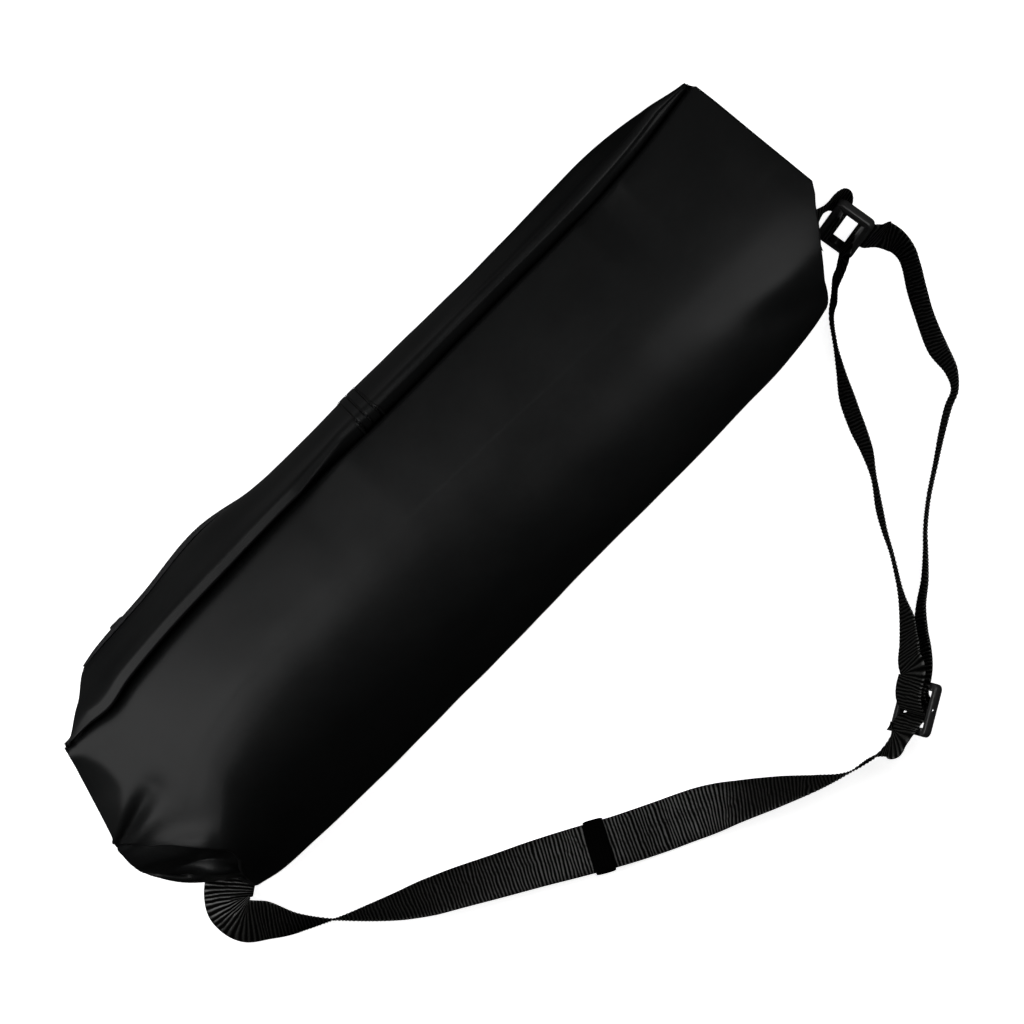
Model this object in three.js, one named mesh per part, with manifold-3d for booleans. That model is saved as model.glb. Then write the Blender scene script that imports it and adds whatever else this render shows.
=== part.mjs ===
// Tripod bag: a stuffed tube of black coated cloth with a webbing shoulder strap, lying on its back.
// Millimetres. +X runs along the bag from its bottom end to its top end, the strap lies on the -Y side,
// and +Z is up. The origin is on the surface that the bag lies on, under the middle of the bag.
import * as THREE from "three";
import { mergeVertices } from "three/addons/utils/BufferGeometryUtils.js";
import Module from "manifold-3d";

// Cloth and webbing
const WALL = 1.8;
const GAP = 0.3;
const WEB_WIDTH = 30;
const WEB_THICK = 1.6;

// The tube's sections, a row for each place along the bag.
// crease: top of the seam between front and gusset; valley: how deep it sinks; crown: top of the front,
// crest: how flat the front runs up to it (2 is an even curve, 1 a flat slope); flank: widest point on the
// strap side; rest: the flat underside's strap-side and far edge, lift: its height above the surface;
// belly: widest point of the gusset; zip: upper edge of the zip strip and how far the strip swells out.
const SECTION_COLUMNS = [
  "x", "creaseY", "creaseZ", "valley", "crownY", "crownZ", "crest", "flankY", "flankZ",
  "restStrapY", "restFarY", "lift", "bellyY", "zipY", "zipZ", "zipSwell",
];
const SECTION_ROWS = [
  [-282, 55.0, 58, 2, -7, 63, 2.0, -70.0, 42, -38, 38, 13, 66.0, 66.0, 34, 0],
  [-262, 55.0, 67, 3, -5, 82, 2.0, -76.0, 44, -46, 43, 8, 74.0, 74.0, 36, 0],
  [-240, 54.5, 75, 6, -3, 94, 2.0, -79.5, 46, -53, 47, 3, 78.0, 78.0, 38, 0],
  [-224, 55.0, 80, 8, -2, 100, 2.0, -83.5, 48, -57, 49, 0, 80.0, 80.0, 39, 1],
  [-205, 58.5, 84, 9, -3, 105, 2.0, -85.2, 49, -60, 51, 0, 81.0, 81.2, 40, 3],
  [-165, 60.6, 87, 9, -4, 111, 2.0, -87.0, 50, -62, 52, 0, 83.0, 83.2, 41, 4],
  [-115, 59.7, 89, 9, -7, 115, 1.9, -87.8, 51, -63, 52, 0, 87.0, 87.2, 42, 4],
  [-62, 59.0, 90, 9, -11, 118, 1.8, -87.8, 52, -63, 51, 0, 82.7, 80.5, 42, 1],
  [0, 57.5, 90, 9, -16, 119, 1.7, -87.8, 52, -63, 50, 0, 82.5, 78.5, 41, 0],
  [90, 58.8, 90, 9, -25, 119, 1.6, -87.8, 52, -63, 50, 0, 80.6, 77.0, 40, 0],
  [155, 59.5, 89, 9, -33, 117, 1.5, -87.8, 52, -62, 49, 0, 80.6, 77.0, 39, 0],
  [190, 60.8, 87, 8, -38, 113, 1.5, -87.2, 51, -61, 49, 0, 81.0, 77.5, 38, 0],
  [220, 61.7, 83, 7, -42, 106, 1.5, -84.0, 49, -58, 48, 0, 78.8, 76.5, 36, 0],
  [242, 64.4, 78, 6, -43, 97, 1.6, -79.5, 46, -54, 46, 3, 75.0, 74.0, 34, 0],
  [262, 66.0, 73, 4, -40, 86, 1.7, -74.0, 43, -48, 44, 7, 70.0, 69.5, 32, 0],
  [282, 67.0, 67, 2, -36, 73, 1.8, -67.0, 40, -42, 42, 11, 67.5, 67.0, 30, 0],
];

// Where each line along the tube starts and ends: the end seams are not square to the bag.
// Round the tube: 1 crease shoulder, 2 crown, 3 flank, 4 and 5 edges of the underside, 6 zip.
const END_CUTS = [
  { at: 0, bottom: -261, top: 270 },
  { at: 1, bottom: -261, top: 270 },
  { at: 1.89, bottom: -276, top: 277.5 },
  { at: 2, bottom: -278, top: 270 },
  { at: 2.16, bottom: -265, top: 266 },
  { at: 2.27, bottom: -248, top: 260.5 },
  { at: 2.47, bottom: -233, top: 251 },
  { at: 2.62, bottom: -235, top: 245 },
  { at: 3, bottom: -240, top: 237 },
  { at: 3.5, bottom: -245, top: 239 },
  { at: 4, bottom: -249, top: 246 },
  { at: 5, bottom: -249, top: 256 },
  { at: 5.6, bottom: -238, top: 264 },
  { at: 6, bottom: -222, top: 268 },
];

// Folds of the front, seen from above: a ridge (height above 0) or a furrow along a line that fades out.
const FOLDS = [
  { name: "ray from the far bottom corner", from: [-261, 55], to: [-222, 42], height: 1.5, width: 7 },
  { name: "slack facet between the bottom corners", from: [-266, 34], to: [-240, 16], height: -3, width: 13 },
  { name: "pinched ridge at the bottom point", from: [-279, -7], to: [-254, 12], height: 2.5, width: 6 },
  { name: "pinched furrow at the bottom point", from: [-277, -9], to: [-240, -4], height: -4, width: 7 },
  { name: "rolled lip over the base", from: [-266, -24], to: [-231, -58], height: 2.5, width: 9 },
  { name: "dent beside the crease", from: [176, 54], to: [192, 46], height: -2.5, width: 9 },
  { name: "ridge to the top corner", from: [190, -40], to: [256, -54], height: 4, width: 13 },
  { name: "hollow under that ridge", from: [212, -64], to: [246, -71], height: -5, width: 8 },
];

// Crease: the cloth rolls down into a slit whose walls meet at the seam
const CREASE_ROLL = 9;
const SLIT_HALF = 1.2;
const SLIT_DEPTH = 4;

// Gusset, its joining band and the zip
const BAND_FROM = -6.8;
const BAND_TO = 8.3;
const BAND_PROUD = 0.7;
const ZIP_WIDTH = 20;
const ZIP_UNDERCUT = 7;
const ZIP_COIL = 1.1;
const ZIP_COIL_AT = 0.35;
const ZIP_SLIDER_X = -187.6;

// Bulge of the end panels: at the far side and at the strap side
const BASE_PANEL = { name: "base_panel", end: "bottom", centre: [-250, -8, 42], out: -1, far: 9, strap: 31 };
const TOP_PANEL = { name: "top_panel", end: "top", centre: [257, -5, 37], out: 1, far: 5, strap: 12 };

// Strap hardware: outer and inner size along the strap (u) and across it (v)
const SLIDER = { u: 32, v: 40, openU: 22, openV: 31.6, thick: 5, corner: 4 };
const PIN_RADIUS = 2;
const LOOP = { u: 25, v: 44, openU: 12, openV: 31.6, thick: 6, corner: 4 };
const KEEPER = { length: 13, wall: 1.4, playWide: 1.2, playThick: 1.2 };

const cloth = { color: 0x0d0e0e, roughness: 0.5, metalness: 0 };
const webbing = { color: 0x101010, roughness: 0.85, metalness: 0 };
const plastic = { color: 0x17181a, roughness: 0.4, metalness: 0 };
const steel = { color: 0xb8babd, roughness: 0.25, metalness: 1 };

const bag = new THREE.Group();
const vec = (x, y, z) => new THREE.Vector3(x, y, z);

function addMesh(name, geometry, finish) {
  const mesh = new THREE.Mesh(geometry, new THREE.MeshStandardMaterial(finish));
  mesh.name = name;
  bag.add(mesh);
  return mesh;
}

// A smooth curve through table rows: cubic between neighbours, sloped by the rows on either side
function smoothAt(rows, key, value, x) {
  let i = 0;
  while (i < rows.length - 2 && rows[i + 1][key] < x) i += 1;
  const slope = (k) => {
    const a = rows[Math.max(0, k - 1)];
    const b = rows[Math.min(rows.length - 1, k + 1)];
    return (b[value] - a[value]) / (b[key] - a[key]);
  };
  const [a, b] = [rows[i], rows[i + 1]];
  const span = b[key] - a[key];
  const t = THREE.MathUtils.clamp((x - a[key]) / span, 0, 1);
  const rise = t * t * (3 - 2 * t);
  const lead = t * (1 - t) * (1 - t) * span * slope(i);
  const trail = t * t * (1 - t) * span * slope(i + 1);
  return a[value] + (b[value] - a[value]) * rise + lead - trail;
}

// A straight line between table rows
function lineAt(rows, key, value, x) {
  let i = 0;
  while (i < rows.length - 2 && rows[i + 1][key] < x) i += 1;
  return THREE.MathUtils.mapLinear(x, rows[i][key], rows[i + 1][key], rows[i][value], rows[i + 1][value]);
}

const SECTIONS = SECTION_ROWS.map((row) => Object.fromEntries(row.map((v, i) => [SECTION_COLUMNS[i], v])));

function sectionAt(x) {
  const entries = SECTION_COLUMNS.map((column) => [column, smoothAt(SECTIONS, "x", column, x)]);
  return { ...Object.fromEntries(entries), x, lift: Math.max(0, smoothAt(SECTIONS, "x", "lift", x)) };
}

// Height that the folds add to the front at a place seen from above
function foldHeight(x, y) {
  let height = 0;
  for (const fold of FOLDS) {
    const along = [fold.to[0] - fold.from[0], fold.to[1] - fold.from[1]];
    const length = Math.hypot(along[0], along[1]);
    const reach = [x - fold.from[0], y - fold.from[1]];
    const t = (reach[0] * along[0] + reach[1] * along[1]) / (length * length);
    const side = (reach[0] * along[1] - reach[1] * along[0]) / length;
    const past = Math.max(0, -t, t - 1) * length;
    const fade = Math.cos((Math.PI / 2) * THREE.MathUtils.clamp(t, 0, 1));
    const distance = (side * side + past * past) / (fold.width * fold.width);
    height += fold.height * (0.25 + 0.75 * fade) * Math.exp(-distance);
  }
  return height;
}

// A point of the main panel: round the tube by "at" (as in END_CUTS), along it by t from 0 to 1
function mainPoint(at, t) {
  const x = THREE.MathUtils.lerp(lineAt(END_CUTS, "at", "bottom", at), lineAt(END_CUTS, "at", "top", at), t);
  const s = sectionAt(x);
  const f = at - Math.min(5, Math.floor(at));
  const turn = (f * Math.PI) / 2;
  const shoulder = (65 * Math.PI) / 180;
  const rollY = (a) => s.creaseY - SLIT_HALF - CREASE_ROLL * (1 - Math.cos(a));
  const rollZ = (a) => s.creaseZ - s.valley * (1 - Math.sin(a));
  if (at < 0.3) {
    const up = at / 0.3;
    const slitY = THREE.MathUtils.lerp(GAP / 2, SLIT_HALF, up);
    return vec(x, s.creaseY - slitY, s.creaseZ - s.valley - SLIT_DEPTH * (1 - up));
  }
  if (at < 1) {
    const roll = ((at - 0.3) / 0.7) * shoulder;
    return vec(x, rollY(roll), rollZ(roll));
  }
  if (at < 2) {
    const [y0, z0] = [rollY(shoulder), rollZ(shoulder)];
    const y = THREE.MathUtils.lerp(y0, s.crownY, f);
    const z = z0 + (s.crownZ - z0) * (1 - Math.pow(1 - f, s.crest));
    return vec(x, y, z + foldHeight(x, y));
  }
  if (at < 3) {
    const y = s.crownY + (s.flankY - s.crownY) * Math.sin(turn);
    const z = s.flankZ + (s.crownZ - s.flankZ) * Math.cos(turn);
    return vec(x, y, z + foldHeight(x, y) * Math.cos(turn));
  }
  if (at < 4) {
    const y = s.restStrapY + (s.flankY - s.restStrapY) * Math.cos(turn);
    return vec(x, y, s.flankZ - (s.flankZ - s.lift) * Math.sin(turn));
  }
  if (at < 5) return vec(x, THREE.MathUtils.lerp(s.restStrapY, s.restFarY, f), s.lift);
  const lowY = s.zipY - ZIP_UNDERCUT;
  const lowZ = s.zipZ - ZIP_WIDTH - 2 * GAP;
  const y = s.restFarY + (lowY - s.restFarY) * Math.sin(turn);
  return vec(x, y, s.lift + (lowZ - s.lift) * (1 - Math.cos(turn)));
}

// A point of the zip strip: f from its lower edge to its upper edge, with the coil standing along it
function zipPoint(f, x) {
  const s = sectionAt(x);
  const coil = ZIP_COIL * Math.exp(-Math.pow((f - ZIP_COIL_AT) / 0.06, 2));
  const y = s.zipY - ZIP_UNDERCUT * (1 - f) * (1 - f) + s.zipSwell * Math.sin(Math.PI * f) + coil;
  return vec(x, y, s.zipZ - ZIP_WIDTH * (1 - f));
}

// A point of the gusset: f from the zip up to the crease, where it rolls into the slit
const GUSSET_KNOTS = 6;
function gussetPoint(f, x, proud = 0) {
  const s = sectionAt(x);
  const rise = s.creaseZ - s.zipZ;
  const knots = [
    vec(x, s.zipY, s.zipZ + GAP),
    vec(x, s.bellyY, s.zipZ + rise * 0.3),
    vec(x, THREE.MathUtils.lerp(s.bellyY, s.creaseY, 0.45), s.zipZ + rise * 0.7),
    vec(x, s.creaseY + SLIT_HALF + Math.min(5, (s.bellyY - s.creaseY) * 0.4), s.creaseZ - 1),
    vec(x, s.creaseY + SLIT_HALF, s.creaseZ - s.valley),
    vec(x, s.creaseY + GAP / 2, s.creaseZ - s.valley - SLIT_DEPTH),
  ];
  const point = new THREE.CatmullRomCurve3(knots, false, "centripetal").getPoint(f);
  return vec(x, point.y + proud * (1 - f), point.z + proud * f * Math.min(1, (1 - f) * 4));
}

const GUSSET_ENDS = { zipBottom: -220, zipTop: 268.5, creaseBottom: -261, creaseTop: 270 };
function gussetX(f, t) {
  const reach = Math.min(1, f * GUSSET_KNOTS / (GUSSET_KNOTS - 1));
  const bottom = THREE.MathUtils.lerp(GUSSET_ENDS.zipBottom, GUSSET_ENDS.creaseBottom, reach);
  const top = THREE.MathUtils.lerp(GUSSET_ENDS.zipTop, GUSSET_ENDS.creaseTop, reach);
  return THREE.MathUtils.lerp(bottom, top, t);
}

// Steps from 0 to 1, closer together towards both ends
function endwardSteps(count) {
  return Array.from({ length: count + 1 }, (_, i) => i / count - 0.12 * Math.sin((2 * Math.PI * i) / count));
}

function evenSteps(from, to, count) {
  return Array.from({ length: count + 1 }, (_, i) => THREE.MathUtils.lerp(from, to, i / count));
}

// Outward normals of a grid of points, rows along the bag and columns round it
function gridNormals(grid) {
  return grid.map((row, i) => row.map((_, j) => {
    const before = grid[Math.max(0, i - 1)][j];
    const after = grid[Math.min(grid.length - 1, i + 1)][j];
    const left = row[Math.max(0, j - 1)];
    const right = row[Math.min(row.length - 1, j + 1)];
    return right.clone().sub(left).cross(after.clone().sub(before)).normalize();
  }));
}

function solidFrom(points, triangles) {
  const geometry = new THREE.BufferGeometry();
  geometry.setAttribute("position", new THREE.Float32BufferAttribute(points.flatMap((p) => [p.x, p.y, p.z]), 3));
  geometry.setIndex(triangles);
  geometry.computeVertexNormals();
  return geometry;
}

// A closed skin between two grids of points: the outer face, the inner face and the four edges
function skinBetween(outer, inner) {
  const rows = outer.length;
  const columns = outer[0].length;
  const points = [...outer.flat(), ...inner.flat()];
  const index = (layer, i, j) => layer * rows * columns + i * columns + j;
  const triangles = [];
  const quad = (a, b, c, d) => triangles.push(a, c, b, a, d, c);
  for (let i = 0; i < rows - 1; i += 1) {
    for (let j = 0; j < columns - 1; j += 1) {
      quad(index(0, i, j), index(0, i + 1, j), index(0, i + 1, j + 1), index(0, i, j + 1));
      quad(index(1, i, j), index(1, i, j + 1), index(1, i + 1, j + 1), index(1, i + 1, j));
    }
    const last = columns - 1;
    quad(index(0, i, 0), index(1, i, 0), index(1, i + 1, 0), index(0, i + 1, 0));
    quad(index(0, i + 1, last), index(1, i + 1, last), index(1, i, last), index(0, i, last));
  }
  for (let j = 0; j < columns - 1; j += 1) {
    const last = rows - 1;
    quad(index(0, 0, j + 1), index(1, 0, j + 1), index(1, 0, j), index(0, 0, j));
    quad(index(0, last, j), index(1, last, j), index(1, last, j + 1), index(0, last, j + 1));
  }
  return solidFrom(points, triangles);
}

// A sheet of cloth: the grid is its outer face
function sheet(grid) {
  const normals = gridNormals(grid);
  const inner = grid.map((row, i) => row.map((p, j) => p.clone().addScaledVector(normals[i][j], -WALL)));
  return skinBetween(grid, inner);
}

// Main panel: from the crease over the front and the strap-side flank, underneath, and up the back to the zip
const AROUND = [
  0, 0.3, 0.6, 1, ...evenSteps(1.15, 2, 6), ...evenSteps(2.13, 3, 6), ...evenSteps(3.25, 4, 3),
  ...evenSteps(5, 6, 4),
];
const mainGrid = endwardSteps(34).map((t) => AROUND.map((at) => mainPoint(at, t)));
addMesh("main_panel", sheet(mainGrid), cloth);

// Gusset: two lengths with the joining band between them
const UP_GUSSET = [0, 0.12, 0.25, 0.4, 0.52, 0.62, 0.7, 0.77, 0.87, 1];
function gussetLength(name, stations, xAt, proud) {
  const grid = stations.map((station) => UP_GUSSET.map((f) => gussetPoint(f, xAt(f, station), proud)));
  return addMesh(name, sheet(grid), cloth);
}
const { lerp } = THREE.MathUtils;
gussetLength("gusset_lower", endwardSteps(22), (f, t) => lerp(gussetX(f, 0), BAND_FROM - GAP, t), 0);
gussetLength("gusset_band", evenSteps(0, 1, 2), (f, t) => lerp(BAND_FROM, BAND_TO, t), BAND_PROUD);
gussetLength("gusset_upper", endwardSteps(20), (f, t) => lerp(BAND_TO + GAP, gussetX(f, 1), t), 0);

// Zip strip: tape with its coil, along the far side under the gusset, and its slider with a hanging pull
const ACROSS_ZIP = [0, 0.17, 0.29, ZIP_COIL_AT, 0.41, 0.56, 0.78, 1];
const zipGrid = endwardSteps(30).map((t) => {
  const x = THREE.MathUtils.lerp(GUSSET_ENDS.zipBottom, GUSSET_ENDS.zipTop, t);
  return ACROSS_ZIP.map((f) => zipPoint(f, x));
});
addMesh("zip_strip", sheet(zipGrid), cloth);

const wasm = await Module();
wasm.setup();

function solidOf(geometry) {
  const bare = new THREE.BufferGeometry();
  bare.setAttribute("position", geometry.getAttribute("position"));
  bare.setIndex(geometry.getIndex());
  const merged = mergeVertices(bare, 1e-4);
  return new wasm.Manifold(new wasm.Mesh({
    numProp: 3,
    vertProperties: new Float32Array(merged.getAttribute("position").array),
    triVerts: new Uint32Array(merged.getIndex().array),
  }));
}

function geometryOf(solid) {
  const mesh = solid.getMesh();
  const geometry = new THREE.BufferGeometry();
  geometry.setAttribute("position", new THREE.Float32BufferAttribute(mesh.vertProperties, 3));
  geometry.setIndex(new THREE.Uint32BufferAttribute(mesh.triVerts, 1));
  geometry.computeVertexNormals();
  return geometry;
}

const zipBody = solidOf(new THREE.BoxGeometry(11, 2.8, 7));
const zipBridge = solidOf(new THREE.BoxGeometry(3.6, 1.6, 6).translate(0, 1.8, -2));
const zipPull = solidOf(new THREE.BoxGeometry(6, 1.2, 14).translate(0, 2, -10));
const zipSlider = addMesh("zip_slider", geometryOf(zipBody.add(zipBridge).add(zipPull)), plastic);
zipSlider.position.copy(zipPoint(ZIP_COIL_AT, ZIP_SLIDER_X)).add(vec(0, 1.4 + 3 * GAP, 0));
zipSlider.rotation.x = -0.3;

// End panels: each closes the tube's end just inside its rim and swells out of it
function rimInset(grid, last, columns) {
  const normals = gridNormals(grid);
  const i = last ? grid.length - 1 : 0;
  return columns.map((j) => grid[i][j].clone().addScaledVector(normals[i][j], -WALL - 1.5 * GAP));
}

function gussetGridWhole() {
  return endwardSteps(22).map((t) => UP_GUSSET.map((f) => gussetPoint(f, gussetX(f, t))));
}

function endRim(last) {
  const fromShoulder = [...AROUND.keys()].filter((j) => AROUND[j] >= 1);
  const main = rimInset(mainGrid, last, fromShoulder);
  const zip = rimInset(zipGrid, last, [1, 5, 6]);
  const gusset = rimInset(gussetGridWhole(), last, [1, 2, 3, 4]);
  const s = sectionAt(last ? GUSSET_ENDS.creaseTop : GUSSET_ENDS.creaseBottom);
  const underSlit = s.creaseZ - s.valley - SLIT_DEPTH - 4 * GAP;
  const seam = [1, -1].map((side) => vec(s.x, s.creaseY + side * (WALL + 4 * GAP), underSlit));
  return [...main, ...zip, ...gusset, ...seam];
}

function panelPoint(panel, rimPoint, rho) {
  const centre = vec(...panel.centre);
  const strapSide = THREE.MathUtils.smoothstep(-rimPoint.y, -20, 50);
  const middle = (panel.far + panel.strap) / 2;
  const swell = THREE.MathUtils.lerp(middle, THREE.MathUtils.lerp(panel.far, panel.strap, strapSide), rho);
  const point = centre.lerp(rimPoint, rho);
  point.x += panel.out * swell * (1 - Math.pow(rho, 2.5));
  return point;
}

function endPanel(panel) {
  const rim = endRim(panel.end === "top");
  const count = rim.length;
  const rings = [1, 0.93, 0.82, 0.66, 0.46, 0.24].map((rho) => rim.map((p) => panelPoint(panel, p, rho)));
  const face = [...rings.flat(), panelPoint(panel, rim[0], 0)];
  const back = face.map((p) => p.clone().add(vec(-panel.out * WALL, 0, 0)));
  const triangles = [];
  const both = (a, b, c) => {
    const turned = panel.out > 0 ? [a, c, b] : [a, b, c];
    triangles.push(...turned, ...turned.map((k) => k + face.length).reverse());
  };
  for (let j = 0; j < count; j += 1) {
    const next = (j + 1) % count;
    for (let k = 0; k < rings.length - 1; k += 1) {
      both(k * count + j, (k + 1) * count + next, k * count + next);
      both(k * count + j, (k + 1) * count + j, (k + 1) * count + next);
    }
    const inmost = (rings.length - 1) * count;
    both(inmost + j, face.length - 1, inmost + next);
    const edge = panel.out > 0 ? [next, j] : [j, next];
    triangles.push(edge[0], edge[1], edge[1] + face.length);
    triangles.push(edge[0], edge[1] + face.length, edge[0] + face.length);
  }
  addMesh(panel.name, solidFrom([...face, ...back], triangles), cloth);
}
endPanel(BASE_PANEL);
endPanel(TOP_PANEL);

// Webbing. A place on it is its middle p and the direction v across it.
function ribbon(places, perSpan) {
  const middle = new THREE.CatmullRomCurve3(places.map((place) => place.p), false, "centripetal");
  const across = new THREE.CatmullRomCurve3(places.map((place) => place.v), false, "catmullrom");
  const count = (places.length - 1) * perSpan;
  const top = [];
  const under = [];
  for (let i = 0; i <= count; i += 1) {
    const p = middle.getPoint(i / count);
    const heading = middle.getTangent(i / count);
    const v = across.getPoint(i / count);
    v.addScaledVector(heading, -v.dot(heading)).normalize();
    const up = v.clone().cross(heading);
    const low = p.z - Math.abs(v.z) * (WEB_WIDTH / 2) - Math.abs(up.z) * (WEB_THICK / 2);
    p.z += Math.max(0, GAP - low);
    const place = (side, face) => {
      const spot = p.clone().addScaledVector(v, (side * WEB_WIDTH) / 2);
      return spot.addScaledVector(up, (face * WEB_THICK) / 2);
    };
    top.push([-1, 1].map((side) => place(side, 1)));
    under.push([-1, 1].map((side) => place(side, -1)));
  }
  return skinBetween(top, under);
}

// Webbing that lies on the surface: its middle seen from above, and its lean, the angle of the width from the
// right-hand side of the run (90 stands on edge); raise lifts it off the surface
function lying(rows) {
  return rows.map((row, i) => {
    const before = rows[Math.max(0, i - 1)];
    const after = rows[Math.min(rows.length - 1, i + 1)];
    const heading = vec(after[0] - before[0], after[1] - before[1], 0).normalize();
    const lean = (row[2] * Math.PI) / 180;
    const [flat, steep] = [Math.cos(lean), Math.sin(lean)];
    const z = (Math.abs(steep) * WEB_WIDTH + Math.abs(flat) * WEB_THICK) / 2 + GAP + (row[3] ?? 0);
    return { p: vec(row[0], row[1], z), v: vec(heading.y * flat, -heading.x * flat, steep) };
  });
}

// A piece of hardware: its middle, its direction u along the strap and v across it
function hardwareFrame(centre, along, across) {
  const u = vec(...along).normalize();
  const v = vec(...across);
  v.addScaledVector(u, -v.dot(u)).normalize();
  return { centre: vec(...centre), u, v, w: v.clone().cross(u) };
}
const sliderAt = hardwareFrame([103.6, -281.5, 19.4], [0.87, 0.5, 0], [0.25, -0.435, 0.866]);
const loopAt = hardwareFrame([273.6, -57, 21], [0.153, -0.984, 0], [0.52, 0.08, 0.85]);

// Webbing led through hardware: rows of u and w, and how far its width is turned from v towards u
function led(frame, rows) {
  return rows.map(([u, w, turn = 0]) => {
    const angle = (turn * Math.PI) / 180;
    const v = frame.v.clone().multiplyScalar(Math.cos(angle)).addScaledVector(frame.u, Math.sin(angle));
    return { p: frame.centre.clone().addScaledVector(frame.u, u).addScaledVector(frame.w, w), v };
  });
}

// The strap's running length: from under the bottom end, through the keeper and the slider, where it lies over
// the frame's bars and under the pin, to the end loop and round its bar
const RUN_FROM_BAG = [
  [-240.9, -61.7, 172, 1.6], [-254.5, -71.2, 166], [-260, -77.8, 156], [-259.6, -88.5, 149], [-249.4, -98.9, 138],
  [-237.2, -113, 111], [-221.8, -126.3, 90], [-204.7, -138.5, 71], [-189.7, -148.2, 56], [-174, -156.8, 43],
  [-157.9, -165.2, 37], [-136.7, -176.9, 31], [-115.2, -188.5, 23, 0.5], [-94, -200.6, 15, 2.4],
  [-73.5, -212.4, 11, 2.4], [-52, -223.5, 5, 0.5], [-30.2, -234, 10], [-8.8, -245.9, 36], [11.9, -258.6, 54],
  [32.1, -271.4, 74], [48.3, -280, 90], [62.5, -283.5, 94, 0.6], [75.5, -286.1, 78, 3],
];
const RUN_THROUGH_SLIDER = [
  [-18.5, 7.4], [-14, 5.2], [-11, 3.7], [-8.5, 2.6], [-6.3, 0], [-4, -3.6], [0, -5], [4, -3.6], [6.3, 0], [8.5, 2.6],
  [11, 3.7], [16.5, 3.9],
];
const RUN_TO_LOOP = [
  [127, -262, 66, 4.2], [136.4, -252.6, 74, 1.5], [147.5, -242.2, 80], [159.8, -233.2, 83], [172.6, -221.3, 86],
  [180.9, -213, 87], [194.6, -202, 87], [214.4, -189.1, 86], [229.2, -179.5, 84], [241.8, -172.2, 83],
  [251.1, -168.1, 83], [257.9, -158.6, 76], [262, -142.8, 67], [268.7, -125, 69], [275.5, -111.5, 68],
  [282.6, -100, 69], [286.8, -91.6, 67], [289.2, -82.5, 62], [286.5, -75, 57],
];
const RUN_ROUND_BAR = [
  [14.5, 6.5], [12.3, 4.8], [9.75, 4.25], [6.8, 4.2], [5.4, 3.7], [4.85, 2.3], [4.85, GAP / 2],
];
addMesh("strap_run", ribbon([
  ...lying(RUN_FROM_BAG),
  ...led(sliderAt, RUN_THROUGH_SLIDER),
  ...lying(RUN_TO_LOOP),
  ...led(loopAt, RUN_ROUND_BAR),
], 2), webbing);

// Its return: from the end loop back to the slider's pin, where its end is turned and sewn under itself
const RETURN_OUT_OF_LOOP = [[4.85, -GAP / 2], [4.85, -4.9], [6.6, -10], [9.2, -17.5]];
const RETURN_FROM_LOOP = [
  [248, -74.4, 96, 9], [240.4, -80, 96, 4], [231.9, -86.3, 94, 1], [222.3, -98.5, 93], [212.4, -113.2, 99],
  [202.7, -128.8, 108], [196.1, -142.5, 108], [189.9, -156.7, 103], [180.6, -171.8, 95], [170.6, -185.7, 97],
  [164.1, -196.1, 95], [156.9, -209.4, 93], [147.3, -224.5, 94], [143.1, -231, 97], [136.6, -241.1, 106, 0.8],
  [128.2, -250.8, 110, 3.5], [120.8, -258.6, 115, 7],
];
const RETURN_ROUND_PIN = [
  [19, 8.8], [9, 8.2], [3, 6.6], [-1.4, 3.6], [-3.1, 0], [-2.2, -2.2], [0, -3.1], [2.2, -2.2], [3.1, 0],
  [4.2, 2.6], [6.5, 4.8], [9.5, 5.7], [13, 5.75],
];
addMesh("strap_return", ribbon([
  ...led(loopAt, RETURN_OUT_OF_LOOP), ...lying(RETURN_FROM_LOOP), ...led(sliderAt, RETURN_ROUND_PIN),
], 2), webbing);

// Hardware plates: a rounded rectangle with a rectangular opening
function roundedRectangle(Path, width, height, corner) {
  const path = new Path();
  const [x, y] = [width / 2, height / 2];
  path.moveTo(-x + corner, -y);
  path.lineTo(x - corner, -y);
  path.absarc(x - corner, -y + corner, corner, -Math.PI / 2, 0);
  path.lineTo(x, y - corner);
  path.absarc(x - corner, y - corner, corner, 0, Math.PI / 2);
  path.lineTo(-x + corner, y);
  path.absarc(-x + corner, y - corner, corner, Math.PI / 2, Math.PI);
  path.lineTo(-x, -y + corner);
  path.absarc(-x + corner, -y + corner, corner, Math.PI, Math.PI * 1.5);
  return path;
}

function plate(size, thick, bevel) {
  const shape = roundedRectangle(THREE.Shape, size.u - 2 * bevel, size.v - 2 * bevel, size.corner - bevel);
  shape.holes.push(roundedRectangle(THREE.Path, size.openU + 2 * bevel, size.openV + 2 * bevel, 1 + bevel));
  const geometry = new THREE.ExtrudeGeometry(shape, {
    depth: thick - 2 * bevel, bevelThickness: bevel, bevelSize: bevel, bevelSegments: 1, curveSegments: 3,
  });
  return geometry.translate(0, 0, bevel - thick / 2);
}

function place(mesh, frame) {
  const side = frame.u.clone().cross(frame.v);
  mesh.quaternion.setFromRotationMatrix(new THREE.Matrix4().makeBasis(frame.u, frame.v, side));
  mesh.position.copy(frame.centre);
  return mesh;
}

// Slider: a plastic frame with a steel pin across it
const pinBore = solidOf(new THREE.CylinderGeometry(PIN_RADIUS + GAP, PIN_RADIUS + GAP, SLIDER.v + 4, 16));
const sliderFrame = solidOf(plate(SLIDER, SLIDER.thick, 0.7)).subtract(pinBore);
place(addMesh("slider_frame", geometryOf(sliderFrame), plastic), sliderAt);
const pin = new THREE.CylinderGeometry(PIN_RADIUS, PIN_RADIUS, SLIDER.v, 16);
place(addMesh("slider_pin", pin, steel), sliderAt);

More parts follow.
